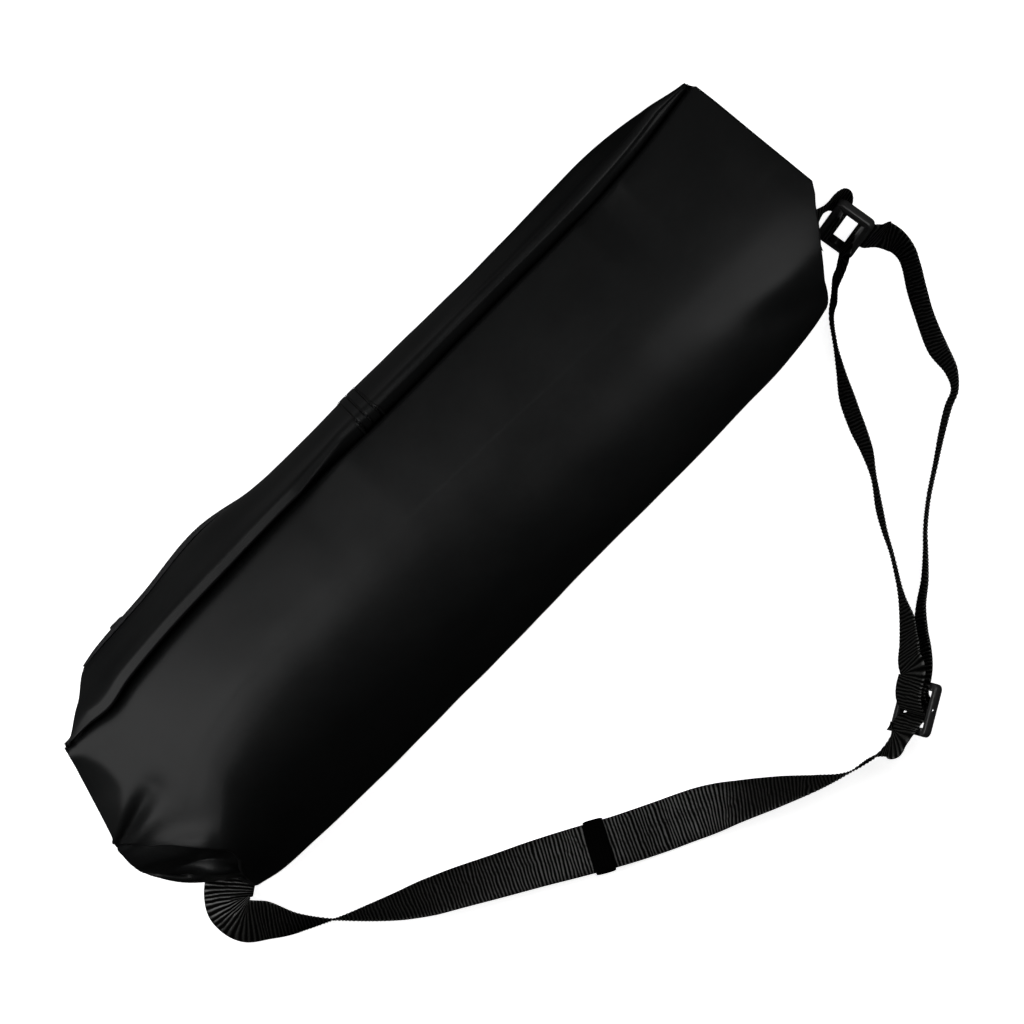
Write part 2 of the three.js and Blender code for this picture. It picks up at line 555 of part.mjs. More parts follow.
// End loop, and the webbing tab that holds it to the top panel: its end is turned round the loop's bar
place(addMesh("end_loop", plate(LOOP, LOOP.thick, 0.7), plastic), loopAt);
const TAB = [
  [-14, -17.6, -50], [-15.2, -11, -26], [-16.2, -4, -6], [-16.6, 3], [-16, 9], [-13.8, 13.2], [-10.6, 14],
  [-7.4, 11.5], [-5.4, 7], [-4.85, 2.5], [-4.85, -1.5], [-5.6, -4.6], [-7.6, -6.2],
];
addMesh("end_tab", ribbon(led(loopAt, TAB), 2), webbing);

// Keeper: a sleeve that holds the strap's run flat
const keeperAt = hardwareFrame([-83.9, -206.6, 6.9], [0.867, -0.498, 0], [-0.485, -0.845, 0.225]);
const inside = { wide: WEB_WIDTH + KEEPER.playWide, thick: WEB_THICK + KEEPER.playThick };
const outside = { wide: inside.wide + 2 * KEEPER.wall, thick: inside.thick + 2 * KEEPER.wall };
const sleeveShape = roundedRectangle(THREE.Shape, outside.wide, outside.thick, 1.8);
sleeveShape.holes.push(roundedRectangle(THREE.Path, inside.wide, inside.thick, 0.6));
const sleeveGeometry = new THREE.ExtrudeGeometry(sleeveShape, {
  depth: KEEPER.length, bevelEnabled: false, curveSegments: 3,
});
const keeper = addMesh("strap_keeper", sleeveGeometry.translate(0, 0, -KEEPER.length / 2), webbing);
const keeperUp = keeperAt.u.clone().cross(keeperAt.v);
keeper.quaternion.setFromRotationMatrix(new THREE.Matrix4().makeBasis(keeperAt.v, keeperUp, keeperAt.u));
keeper.position.copy(keeperAt.centre);

export default bag;
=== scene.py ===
import math

import bpy
import numpy as np
from mathutils import Matrix, Vector, noise


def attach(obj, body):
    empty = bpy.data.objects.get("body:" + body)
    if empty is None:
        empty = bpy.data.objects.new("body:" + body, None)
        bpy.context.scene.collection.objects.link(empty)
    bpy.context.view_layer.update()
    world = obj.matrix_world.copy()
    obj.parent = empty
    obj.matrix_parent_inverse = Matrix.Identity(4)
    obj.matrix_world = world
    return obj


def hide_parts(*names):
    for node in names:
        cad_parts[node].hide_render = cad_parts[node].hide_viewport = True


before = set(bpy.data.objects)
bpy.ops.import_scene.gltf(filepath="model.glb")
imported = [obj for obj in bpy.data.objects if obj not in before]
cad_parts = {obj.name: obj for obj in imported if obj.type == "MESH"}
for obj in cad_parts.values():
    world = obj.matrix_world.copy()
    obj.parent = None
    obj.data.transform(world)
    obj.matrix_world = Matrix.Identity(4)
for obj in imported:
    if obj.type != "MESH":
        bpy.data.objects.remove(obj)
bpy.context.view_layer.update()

# Main panel: the big cut of black coated cloth that makes the front, the strap-side flank, the underside
# and the back. It is sewn to the gusset down in a deep crease, and its ends are turned in round the end
# panels. It is shaped in millimetres, and goes to metres where the mesh is made.
MM = 0.001
CLOTH_THICK = 1.6
SEAM_GAP = 0.3
HEM_RADIUS = 1.8
END_INSET = 0.0035
ZIP_WIDTH = 20
ZIP_UNDERCUT = 7
# The slit down in the crease: how far round the tube it goes, half its width, and its depth
SLIT_TOP = 0.3
SLIT_HALF = 1.2
SLIT_DEPTH = 4

# A row for each place along the bag: the crease and how deep it sinks, the crown of the front and how flat
# the front runs up to it, the flank, the underside's edges and lift, the gusset's belly, and the zip
TUBE_COLUMNS = (
    "x crease_y crease_z valley crown_y crown_z crest flank_y flank_z "
    "rest_strap_y rest_far_y lift belly_y zip_y zip_z zip_swell"
).split()
TUBE_ROWS = np.array([
    [-282, 55.0, 58, 2, -30, 62, 1.9, -70.0, 42, -38, 38, 13, 66.0, 66.0, 34, 0],
    [-262, 55.0, 67, 3, -35, 82, 1.9, -76.0, 44, -46, 43, 8, 74.0, 74.0, 36, 0],
    [-240, 55.0, 75, 6, -47, 95, 1.8, -79.5, 46, -53, 47, 3, 78.0, 78.0, 38, 0],
    [-224, 53.5, 80, 9, -36, 101, 1.7, -83.5, 48, -57, 49, 0, 80.0, 80.0, 39, 2],
    [-205, 57.0, 84, 11, -22, 105, 1.65, -85.2, 49, -60, 51, 0, 81.0, 81.2, 40, 4.5],
    [-165, 60.0, 87, 12, -12, 110.5, 1.6, -87.0, 50, -62, 52, 0, 83.0, 83.2, 41, 5],
    [-115, 61.0, 89, 12, -12, 114.5, 1.6, -87.8, 51, -63, 52, 0, 87.0, 87.2, 42, 5],
    [-62, 61.5, 90, 11, -13, 117.5, 1.65, -87.8, 52, -63, 51, 0, 82.7, 80.5, 42, 1],
    [0, 58.8, 90, 9, -15, 119, 1.7, -87.8, 52, -63, 50, 0, 82.5, 78.5, 41, 0],
    [90, 58.2, 90, 9, -20, 119, 1.6, -87.8, 52, -63, 50, 0, 80.6, 77.0, 40, 0],
    [155, 57.6, 89, 9, -24, 117, 1.5, -87.8, 52, -62, 49, 0, 80.6, 77.0, 39, 0],
    [190, 58.2, 87, 8, -26, 113, 1.5, -87.2, 51, -61, 49, 0, 81.0, 77.5, 38, 0],
    [220, 60.0, 83, 7, -27, 108, 1.5, -84.0, 49, -58, 48, 0, 78.8, 76.5, 36, 0],
    [242, 62.4, 78, 6, -28, 103, 1.5, -79.5, 46, -54, 46, 3, 75.0, 74.0, 34, 0],
    [262, 65.0, 73, 4, -30, 97, 1.6, -74.0, 43, -48, 44, 7, 70.0, 69.5, 32, 0],
    [282, 67.0, 67, 2, -30, 88, 1.7, -67.0, 40, -42, 42, 11, 67.5, 67.0, 30, 0],
])

# Where each line along the tube starts at the bottom end and stops at the top end. Round the tube: 1 crease
# shoulder, 2 crown, 3 flank, 4 and 5 edges of the underside, 6 zip.
BOTTOM_EDGE = np.array([
    [0, -262.5], [1, -262.5], [1.62, -279], [1.68, -281], [1.76, -272], [1.84, -267], [1.868, -260.5],
    [1.93, -250.5], [1.99, -242], [2.12, -237], [2.22, -235], [2.33, -235.5], [2.42, -239.5], [2.52, -241],
    [3, -240], [3.5, -245], [4, -249], [5, -249], [5.6, -238], [6, -222],
])
TOP_EDGE = np.array([
    [0, 271], [1, 272], [1.93, 279.5], [2.067, 271], [2.22, 263.5], [2.357, 255.5], [2.6, 243],
    [3, 233], [3.5, 237], [4, 246], [5, 256], [5.6, 264], [6, 268],
])

# Places along the bag and a value at each: how far the front rolls over into the crease, how slack the cloth
# lies, and how squarely the taut flank turns. The hem's share of its radius goes round the tube instead.
ROLL = ([-261, -240, -65, -25, 164, 182, 200, 270], [4, 12, 13, 2, 2, 14, 2, 2])
SLACK = ([-180, -120, -60, 0, 60], [1, 0.8, 0.5, 0.2, 0])
FLANK_POWER = ([60, 150, 220], [2, 2.2, 2.7])
HEM_SHARE = ([0, 0.7, 1.15], [0.05, 0.15, 1])

# The front levels out over the crown: taut cloth in a rounded crest, slack cloth from a bend half way up
CROWN_ROUND = 0.15
LEAST_SLOPE = 0.2
SLACK_BEND = 0.5
SLACK_SAG = 18
SLACK_POWER = 2.1

# Folds of the front seen from above, each from a start to an end with its height and its width at both
FOLDS = [
    ((-261, 55), (-222, 42), 1.5, 5, 9),
    ((-278, -6), (-241, 3), -9.0, 2.5, 7),
    ((-277, -12), (-246, -8), 2.5, 3, 7),
    ((-244, -41), (-265, -21), 5.5, 9, 6),
    ((203, 57), (214, 51), 0.9, 6, 8),
    ((252, -58), (205, -50), 2.5, 10, 10),
    ((240, -78), (198, -62), -9.0, 8, 9),
]
FOLD_LEAST = 0.2
FOLD_START = 1 / 12
# The flat facet of slack cloth at the bottom end: its edge on the front from corner to corner, and its fall
FACET = {
    "edge": [(-261, 55), (-250.5, 34), (-252, 16), (-278, -6.5)],
    "fall": 0.66,
    "corner": 1.5,
    "soft": 1.2,
}
# Slow unevenness of the cloth, each with its size, height and seed, and where round the tube it is
RIPPLES = ((75, 0.9, 3.1), (24, 0.3, 7.7))
RIPPLED = (0.6, 4)


def lerp(a, b, t):
    return a + (b - a) * t


def smooth(t):
    return t * t * (3 - 2 * t)


def hermite(start, end, lead, trail, t):
    return lerp(start, end, smooth(t)) + t * (1 - t) ** 2 * lead - t * t * (1 - t) * trail


def unit(vectors):
    return vectors / np.maximum(np.linalg.norm(vectors, axis=-1, keepdims=True), 1e-9)


def soft_ramp(value, width):
    return np.logaddexp(0, value / width) * width


def tube(column, x):
    stations, values = TUBE_ROWS[:, 0], TUBE_ROWS[:, TUBE_COLUMNS.index(column)]
    slopes = np.empty_like(values)
    slopes[1:-1] = (values[2:] - values[:-2]) / (stations[2:] - stations[:-2])
    slopes[[0, -1]] = (values[[1, -1]] - values[[0, -2]]) / (stations[[1, -1]] - stations[[0, -2]])
    i = np.clip(np.searchsorted(stations, x) - 1, 0, len(stations) - 2)
    span = stations[i + 1] - stations[i]
    t = np.clip((x - stations[i]) / span, 0, 1)
    return hermite(values[i], values[i + 1], span * slopes[i], span * slopes[i + 1], t)


def beside_line(x, y, start, end):
    along = np.array(end) - start
    length = np.hypot(*along)
    forward = ((x - start[0]) * along[0] + (y - start[1]) * along[1]) / length
    side = ((x - start[0]) * along[1] - (y - start[1]) * along[0]) / length
    return forward, side, length


def fold_shape(x, y, start, end, start_width, end_width):
    forward, side, length = beside_line(x, y, start, end)
    past = np.maximum(0, np.maximum(-forward, forward - length))
    t = np.clip(forward / length, 0, 1)
    return t, np.exp(-(side**2 + past**2) / lerp(start_width, end_width, t) ** 2)


def fold_height(x, y):
    height = np.zeros_like(x)
    for start, end, rise, *widths in FOLDS:
        t, shape = fold_shape(x, y, start, end, *widths)
        height += rise * lerp(FOLD_LEAST, 1, np.cos(np.pi / 2 * t)) * shape
    edges = zip(FACET["edge"], FACET["edge"][1:])
    past = np.array([beside_line(x, y, start, end)[1] for start, end in edges])
    inside = -np.logaddexp.reduce(-past / FACET["corner"]) * FACET["corner"]
    return height - FACET["fall"] * soft_ramp(inside, FACET["soft"])


def front_share(f, crest, slack):
    high, low = (1 + CROWN_ROUND**2) ** (crest / 2), CROWN_ROUND**crest
    taut = (high - ((1 - f) ** 2 + CROWN_ROUND**2) ** (crest / 2)) / (high - low)
    bend = np.maximum(0, f - SLACK_BEND) ** 2 / (2 - 2 * SLACK_BEND)
    return lerp(taut, 2 * (f - bend) / (1 + SLACK_BEND), slack)


def main_point(at, along):
    x = lerp(np.interp(at, *BOTTOM_EDGE.T), np.interp(at, *TOP_EDGE.T), along)
    s = {column: tube(column, x) for column in TUBE_COLUMNS}
    f = at - np.minimum(5, np.floor(at))
    out, level = np.sin(f * np.pi / 2), np.cos(f * np.pi / 2)
    slack, roll = np.interp(x, *SLACK), np.interp(x, *ROLL)

    up = np.clip(at / SLIT_TOP, 0, 1)
    slit_y = s["crease_y"] - lerp(SEAM_GAP / 2, SLIT_HALF, up)
    slit_z = s["crease_z"] - s["valley"] - SLIT_DEPTH * (1 - up)

    slope = s["crest"] * (s["crown_z"] - s["crease_z"]) / (s["crease_y"] - roll / 2 - s["crown_y"])
    shoulder = np.arctan2(s["valley"], roll * np.maximum(slope, LEAST_SLOPE))
    angle = np.clip((at - SLIT_TOP) / (1 - SLIT_TOP), 0, 1) * shoulder
    roll_y = s["crease_y"] - SLIT_HALF - roll * (1 - np.cos(angle))
    roll_z = s["crease_z"] - s["valley"] * (1 - np.sin(angle))

    front_y = lerp(roll_y, s["crown_y"], f)
    front_z = lerp(roll_z, s["crown_z"], front_share(f, s["crest"], slack))
    front_z = front_z + fold_height(x, front_y) * np.clip(f / FOLD_START, 0, 1)

    flank_low = s["flank_z"] - SLACK_SAG * slack
    flank_y = lerp(s["crown_y"], s["flank_y"], out)
    flank_share = lerp(np.sqrt(1 - out ** np.interp(x, *FLANK_POWER)), 1 - out**SLACK_POWER, slack)
    flank_z = lerp(flank_low, s["crown_z"], flank_share) + fold_height(x, flank_y) * level

    lift = np.maximum(0, s["lift"])
    low_y, low_z = lerp(s["rest_strap_y"], s["flank_y"], level), lerp(flank_low, lift, out)
    under_y = lerp(s["rest_strap_y"], s["rest_far_y"], f)
    back_y = lerp(s["rest_far_y"], s["zip_y"] - ZIP_UNDERCUT, out)
    back_z = lerp(s["zip_z"] - ZIP_WIDTH - 2 * SEAM_GAP, lift, level)

    where = [at < SLIT_TOP, at < 1, at < 2, at < 3, at < 4, at < 5]
    y = np.select(where, [slit_y, roll_y, front_y, flank_y, low_y, under_y], back_y)
    z = np.select(where, [slit_z, roll_z, front_z, flank_z, low_z, lift], back_z)
    return np.stack([x, y, z], -1)


def ripple(grid, size, height, seed):
    shift = Vector((seed, 2 * seed, 3 * seed))
    spots = [noise.noise(Vector(p) / size + shift) for p in grid.reshape(-1, 3)]
    return height * np.array(spots).reshape(grid.shape[:2] + (1,))


def face_normals(grid):
    return unit(np.cross(np.gradient(grid, axis=1), np.gradient(grid, axis=0)))


def turned_in(grid, radius):
    normals = face_normals(grid)
    turns = np.radians(np.arange(25, 176, 25))
    ends = []
    for edge, inner in ((0, 1), (-1, -2)):
        outward, down = unit(grid[edge] - grid[inner]), -normals[edge]
        ends.append([grid[edge] + radius * (np.sin(a) * outward + (1 - np.cos(a)) * down) for a in turns])
    return np.concatenate([ends[0][::-1], grid, ends[1]])


class Shade:
    def __init__(self, tree, socket):
        self.tree, self.socket = tree, socket

    def math(self, operation, first, second):
        node = self.tree.nodes.new("ShaderNodeMath")
        node.operation = operation
        for slot, value in zip(node.inputs, (first, second)):
            if isinstance(value, Shade):
                self.tree.links.new(value.socket, slot)
            else:
                slot.default_value = value
        return Shade(self.tree, node.outputs[0])

    def __add__(self, other):
        return self.math("ADD", self, other)

    def __mul__(self, other):
        return self.math("MULTIPLY", self, other)

    def __sub__(self, other):
        return self.math("SUBTRACT", self, other)

    def __rsub__(self, other):
        return self.math("SUBTRACT", other, self)

    __radd__, __rmul__ = __add__, __mul__

    def sine(self):
        return self.math("SINE", self, 0.0)


class Finish:
    def __init__(self, name):
        self.material = bpy.data.materials.new(name)
        self.material.use_nodes = True
        self.tree = self.material.node_tree
        self.tree.nodes.clear()

    def node(self, kind, settings, sockets, output=0):
        node = self.tree.nodes.new(kind)
        for key, value in settings.items():
            if key == "stops":
                ramp = node.color_ramp.elements
                for element, (position, colour) in zip(ramp, value):
                    element.position, element.color = position, (*colour, 1)
            else:
                setattr(node, key, value)
        for key, value in sockets.items():
            if isinstance(value, Shade):
                self.tree.links.new(value.socket, node.inputs[key])
            else:
                node.inputs[key].default_value = value
        return Shade(self.tree, node.outputs[output])

    def cloth_place(self):
        place = self.node("ShaderNodeUVMap", {"uv_map": "cloth"}, {})
        along, across = (self.node("ShaderNodeSeparateXYZ", {}, {"Vector": place}, axis) for axis in "XY")
        return place, along, across

    def close(self, sockets):
        return self.cover(self.node("ShaderNodeBsdfPrincipled", {}, sockets))

    def cover(self, shader):
        output = self.tree.nodes.new("ShaderNodeOutputMaterial")
        self.tree.links.new(shader.socket, output.inputs["Surface"])
        return self.material


def cloth_finish():
    finish = Finish("coated_cloth")
    place, along, across = finish.cloth_place()
    thread = 2 * math.pi / 0.62
    weave = (along * thread).sine() * (across * thread).sine()
    fine = {"Vector": place, "Scale": 1.1, "Detail": 4.0, "Roughness": 0.6}
    worn = {"Vector": place, "Scale": 0.21, "Detail": 5.0, "Roughness": 0.7}
    grain = finish.node("ShaderNodeTexNoise", {}, fine)
    mottle = finish.node("ShaderNodeTexNoise", {}, {"Vector": place, "Scale": 0.028, "Detail": 3.0})
    scuff = finish.node("ShaderNodeTexNoise", {}, worn)
    stops = [(0.3, (0.0055, 0.0058, 0.0060)), (0.75, (0.0085, 0.0088, 0.0088))]
    colour = finish.node("ShaderNodeValToRGB", {"stops": stops}, {"Fac": mottle * 0.7 + scuff * 0.3})
    relief = {"Strength": 0.6, "Distance": 0.001, "Height": weave * 0.012 + grain * 0.05}
    return finish.close({
        "Specular IOR Level": 0.18,
        "Base Color": colour,
        "Roughness": 0.35 + mottle * 0.08 + scuff * 0.06,
        "Normal": finish.node("ShaderNodeBump", {}, relief),
    })


def mesh_piece(name, points, faces, finish):
    mesh = bpy.data.meshes.new(name)
    mesh.from_pydata((np.reshape(points, (-1, 3)) * MM).tolist(), [], faces)
    mesh.polygons.foreach_set("use_smooth", np.ones(len(mesh.polygons), bool))
    mesh.materials.append(finish)
    piece = bpy.data.objects.new(name, mesh)
    bpy.context.scene.collection.objects.link(piece)
    return piece


def grid_mesh(name, grid, finish, closed=False):
    rows, columns = grid.shape[:2]
    index = np.arange(rows * columns).reshape(rows, columns)
    if closed:
        index = np.concatenate([index, index[:, :1]], 1)
    quads = np.stack([index[:-1, :-1], index[:-1, 1:], index[1:, 1:], index[1:, :-1]], -1)
    faces = quads.reshape(-1, 4).tolist()
    if closed:
        faces += [index[0, -2::-1].tolist(), index[-1, :-1].tolist()]
    piece = mesh_piece(name, grid, faces, finish)
    steps = [np.linalg.norm(np.diff(grid, axis=axis), axis=-1) for axis in (0, 1)]
    start = grid[:1] @ (np.zeros(3) if closed else unit((grid[-1] - grid[0]).mean(0)))
    along = np.cumsum(np.concatenate([start, steps[0]]), 0)
    across = np.concatenate([np.zeros((rows, 1)), np.cumsum(steps[1], 1)], 1)
    spots = np.stack([along.ravel(), across.ravel()], -1)
    corners = np.empty(len(piece.data.loops), int)
    piece.data.loops.foreach_get("vertex_index", corners)
    piece.data.uv_layers.new(name="cloth").data.foreach_set("uv", spots[corners].ravel())
    return piece


def cloth_sheet(name, grid, finish, thick=CLOTH_THICK):
    piece = grid_mesh(name, grid, finish)
    skin = piece.modifiers.new("cloth", "SOLIDIFY")
    skin.thickness, skin.offset = thick * MM, -1
    return piece


def belongs(piece, slot, *nodes):
    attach(piece, "root")
    if nodes:
        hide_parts(*nodes)
    return piece


def end_rows(count, ease=0.85):
    steps = np.linspace(0, 1, count)
    return lerp(END_INSET, 1 - END_INSET, steps - ease * np.sin(2 * np.pi * steps) / (2 * np.pi))


def round_spans(*spans):
    parts = [np.linspace(start, end, count)[:-1] for start, end, count in spans]
    return np.concatenate([*parts, [spans[-1][1]]])


coated_cloth = cloth_finish()
round_tube = round_spans(
    (0, SLIT_TOP, 4), (SLIT_TOP, 1, 12), (1, 2, 44), (2, 3, 40), (3, 4, 16), (4, 5, 6), (5, 6, 14)
)
main_grid = main_point(*np.meshgrid(round_tube, end_rows(230)))
shown = np.clip(np.minimum(round_tube - RIPPLED[0], RIPPLED[1] - round_tube), 0, 1)[None, :, None]
uneven = sum(ripple(main_grid, *wave) for wave in RIPPLES)
main_grid = main_grid + face_normals(main_grid) * shown * uneven
hem = HEM_RADIUS * np.interp(round_tube, *HEM_SHARE)[:, None]
main_panel = cloth_sheet("main_panel_cloth", turned_in(main_grid, hem), coated_cloth)
belongs(main_panel, "coated_cloth", "main_panel")

# Gusset: the narrow side strip of the same cloth between the crease and the zip, cut in two lengths. Its
# upper edge is sewn to the front down in the crease and rolls over it as a soft lip, which stands higher
# along the lower length.
BAND = (-6.8, 8.3)
GUSSET_ENDS = {"zip": (-219, 267.5), "crease": (-260.5, 268.5)}
GUSSET_HEM = 1.2
GUSSET_HEM_SHARE = ([0.3, 0.5, 1], [1, 0.2, 0.05])
GUSSET_REACH = ([0, 0.125, 0.25, 0.375, 0.5, 0.75, 1], [0, 0.05, 0.42, 0.82, 0.92, 1, 1])
GUSSET_ROWS = (0.006, 0.994, 120)
GUSSET_COLUMNS = 70
GUSSET_RIPPLE = (30, 0.5)
LOWER_CUT = (0.07, 0.25)
UPPER_CUT = (0.07, 0.265)
# As shares of the way to the crease: how high the belly is, and how far in and how high the shoulder is
BELLY_HIGH = 0.3
SHOULDER = {"in": 0.4, "high": 0.72}
# Along the bag: where the lip fades out at both ends, and where it changes from the lower to the upper form
LIP_FADE = ([-261, -235, 245, 270], [0.15, 1, 1, 0.15])
LIP_CHANGE = ([-60, -20], [0, 1])
# In the lower and the upper form: how far the lip sinks, at most a share of the crease's depth, and how far
# out and how far down each of its points is, with its foot down in the crease last
LIP_DROP = (-4.2, 2)
LIP_DROP_MOST = 0.4
LIP_POINTS = (((5.5, 9.5), (2.4, 1.8)), ((2.2, 5.5), (0.9, 0)), ((-0.6, 3.4), (0.2, 1.8)))
LIP_FOOT = {"out": (-1.4, 1.9), "down": 0.55}


def along_curve(knots, f):
    knots = np.concatenate([[2 * knots[0] - knots[1]], knots, [2 * knots[-1] - knots[-2]]])
    place = np.clip(f, 0, 1) * (len(knots) - 3)
    i = np.minimum(place.astype(int), len(knots) - 4)
    a, b, c, d = (knots[i + k, np.arange(len(f))] for k in range(4))
    pairs = ((a, b), (b, c), (c, d))
    ab, bc, cd = (np.sqrt(np.linalg.norm(q - p, axis=1) + 1e-6)[:, None] for p, q in pairs)
    lead = ((b - a) / ab - (c - a) / (ab + bc) + (c - b) / bc) * bc
    trail = ((c - b) / bc - (d - b) / (bc + cd) + (d - c) / cd) * bc
    return hermite(b, c, lead, trail, (place - i)[:, None])


def gusset_point(f, x, proud=0.0):
    shape, f, x = f.shape, f.ravel(), x.ravel()
    crease_y, crease_z, belly_y = tube("crease_y", x), tube("crease_z", x), tube("belly_y", x)
    zip_y, zip_z, valley = tube("zip_y", x), tube("zip_z", x), tube("valley", x)
    rise, edge = crease_z - zip_z, crease_y + SLIT_HALF
    fade, upper = np.interp(x, *LIP_FADE), np.interp(x, *LIP_CHANGE)
    drop = np.minimum(lerp(*LIP_DROP, upper), valley * LIP_DROP_MOST) * fade
    lip_z, foot = crease_z - drop, LIP_FOOT["down"] * (valley - drop)
    lip = [(edge + lerp(*out, upper) * fade, lip_z - lerp(*down, upper)) for out, down in LIP_POINTS]
    knots = np.stack([np.stack([x, y, z], -1) for y, z in (
        (zip_y, zip_z + SEAM_GAP),
        (belly_y, zip_z + rise * BELLY_HIGH),
        (lerp(belly_y, crease_y, SHOULDER["in"]), zip_z + rise * SHOULDER["high"]),
        *lip,
        (edge + lerp(*LIP_FOOT["out"], upper) * fade, lip_z - foot),
        (edge, crease_z - valley),
        (crease_y + SEAM_GAP / 2, crease_z - valley - SLIT_DEPTH),
    )])
    point = along_curve(knots, f)
    point[:, 0] = x
    point[:, 1] += proud * (1 - f)
    point[:, 2] += proud * f * np.minimum(1, (1 - f) * 4)
    return point.reshape(shape + (3,))


def gusset_end(f, end):
    return lerp(GUSSET_ENDS["zip"][end], GUSSET_ENDS["crease"][end], np.interp(f, *GUSSET_REACH))


def gusset_grid(rows, start, end):
    f, t = np.meshgrid(np.linspace(0, 1, GUSSET_COLUMNS), rows)
    first = gusset_end(f, 0) if start is None else start
    last = gusset_end(f, 1) if end is None else end
    return gusset_point(f, lerp(first, last, t))


for name, node, start, end, cut, seed in (
    ("gusset_lower_cloth", "gusset_lower", None, BAND[0] + 2, LOWER_CUT, 4.3),
    ("gusset_upper_cloth", "gusset_upper", BAND[1] - 2, None, UPPER_CUT, 9.1),
):
    grid = gusset_grid(np.linspace(*GUSSET_ROWS), start, end)
    grid = grid + face_normals(grid) * ripple(grid, *GUSSET_RIPPLE, seed)
    hem = GUSSET_HEM * np.interp(np.linspace(0, 1, GUSSET_COLUMNS), *GUSSET_HEM_SHARE)[:, None]
    gusset = cloth_sheet(name, turned_in(grid, hem), coated_cloth)
    belongs(gusset, "coated_cloth", node)

# Gusset band: a flat strip of the cloth laid over the join of the two gusset lengths. It is topstitched
# along both edges and down its middle with black thread, which pulls the cloth in under each row.
BAND_THICK = 0.8
BAND_PROUD = 0.5
BAND_TOP = 0.93
BAND_EDGE_DROP = 0.35
STITCH_LINES = (BAND[0] + 1.2, 0.4, BAND[1] - 1.2)
STITCH_PITCH = 2.6
STITCH_GAP = 0.28
STITCH_RADIUS = 0.32
STITCH_START = 0.3
STITCH_SPAN = (0.02, 0.8)
STITCH_PROUD = (0, 0.05, 0.05)
STITCH_PULL = {"depth": 1.1, "width": 0.5}
# A stitch's rings: where each is along it, and its share of the radius
STITCH_RINGS = ((-0.5, 0.15), (-0.42, 0.7), (-0.2, 1), (0.2, 1), (0.42, 0.7), (0.5, 0.15))
# A direction that no stitch or tooth runs in
ASKEW = (0.31, 0.2, 0.93)


def thread_finish():
    finish = Finish("sewing_thread")
    place = finish.node("ShaderNodeTexCoord", {}, {}, "Object")
    fibres = finish.node("ShaderNodeTexNoise", {}, {"Vector": place, "Scale": 2600.0, "Detail": 3.0})
    stops = [(0.35, (0.004, 0.004, 0.004)), (0.7, (0.012, 0.012, 0.013))]
    relief = {"Strength": 0.5, "Distance": 0.0001, "Height": fibres}
    return finish.close({
        "Specular IOR Level": 0.3,
        "Base Color": finish.node("ShaderNodeValToRGB", {"stops": stops}, {"Fac": fibres}),
        "Roughness": 0.55 + fibres * 0.2,
        "Normal": finish.node("ShaderNodeBump", {}, relief),
    })


def round_turns(count):
    return np.linspace(0, 2 * np.pi, count + 1)[:-1]


def run_length(line):
    return np.concatenate([[0], np.cumsum(np.linalg.norm(np.diff(line, axis=0), axis=1))])


def sewn(name, stitches, radius, finish):
    turns = round_turns(6)
    count = len(STITCH_RINGS) * len(turns)
    points, faces = [], []
    for start, end in stitches:
        heading = unit(end - start)
        side = unit(np.cross(heading, ASKEW))
        ring = np.outer(np.cos(turns), side) + np.outer(np.sin(turns), np.cross(heading, side))
        index = len(points) * len(turns) + np.arange(count).reshape(-1, len(turns))
        beside = np.roll(index, -1, 1)
        points += [lerp(start, end, place + 0.5) + radius * share * ring for place, share in STITCH_RINGS]
        quads = np.stack([index[:-1], beside[:-1], beside[1:], index[1:]], -1)
        faces += [*quads.reshape(-1, 4).tolist(), index[0, ::-1].tolist(), index[-1].tolist()]
    return mesh_piece(name, points, faces, finish)


def stitch_row(line, pitch):
    run = run_length(line)
    starts = np.arange(STITCH_START, run[-1] - pitch, pitch)
    ends = starts + pitch * (1 - STITCH_GAP)
    return list(zip(*(np.stack([np.interp(d, run, axis) for axis in line.T], -1) for d in (starts, ends))))


sewing_thread = thread_finish()
band_f, band_t = np.meshgrid(np.linspace(0, BAND_TOP, 60), np.linspace(0, 1, 49))
band_x = lerp(*BAND, band_t)
pulled = sum(np.exp(-(((band_x - line) / STITCH_PULL["width"]) ** 2)) for line in STITCH_LINES)
sunk = STITCH_PULL["depth"] * pulled + BAND_EDGE_DROP * np.abs(2 * band_t - 1) ** 8
band_grid = gusset_point(band_f, band_x, BAND_PROUD)
band_grid = band_grid - face_normals(band_grid) * sunk[..., None]
gusset_band = cloth_sheet("gusset_band_cloth", band_grid, coated_cloth, BAND_THICK)
belongs(gusset_band, "coated_cloth", "gusset_band")
stitch_f = np.linspace(*STITCH_SPAN, 200)
band_stitches = []
for line in STITCH_LINES:
    row = gusset_point(stitch_f, np.full(len(stitch_f), line), BAND_PROUD)
    band_stitches += stitch_row(row + STITCH_PROUD, STITCH_PITCH)
band_sewing = sewn("gusset_band_stitching", band_stitches, STITCH_RADIUS, sewing_thread)
belongs(band_sewing, "coated_cloth")

# Zip strip: a woven tape sewn under the gusset's lower edge and to the back of the main panel, with a groove
# along its upper seam. A nylon coil of small closed teeth runs along it.
TAPE_THICK = 1.2
TAPE_GROOVE = {"depth": 2.6, "width": 0.05}
COIL_AT = 0.35
COIL_PITCH = 2.0
COIL_RADIUS = 0.75
COIL_END = 6
TOOTH = {"reach": 0.13, "lean": 0.3, "proud": 0.45}


def zip_point(f, x):
    y = tube("zip_y", x) - ZIP_UNDERCUT * (1 - f) ** 2 + tube("zip_swell", x) * np.sin(np.pi * f)
    groove = TAPE_GROOVE["depth"] * np.exp(-(((1 - f) / TAPE_GROOVE["width"]) ** 2))
    return np.stack([x, y, tube("zip_z", x) - ZIP_WIDTH * (1 - f) ** 1.5 - groove], -1)


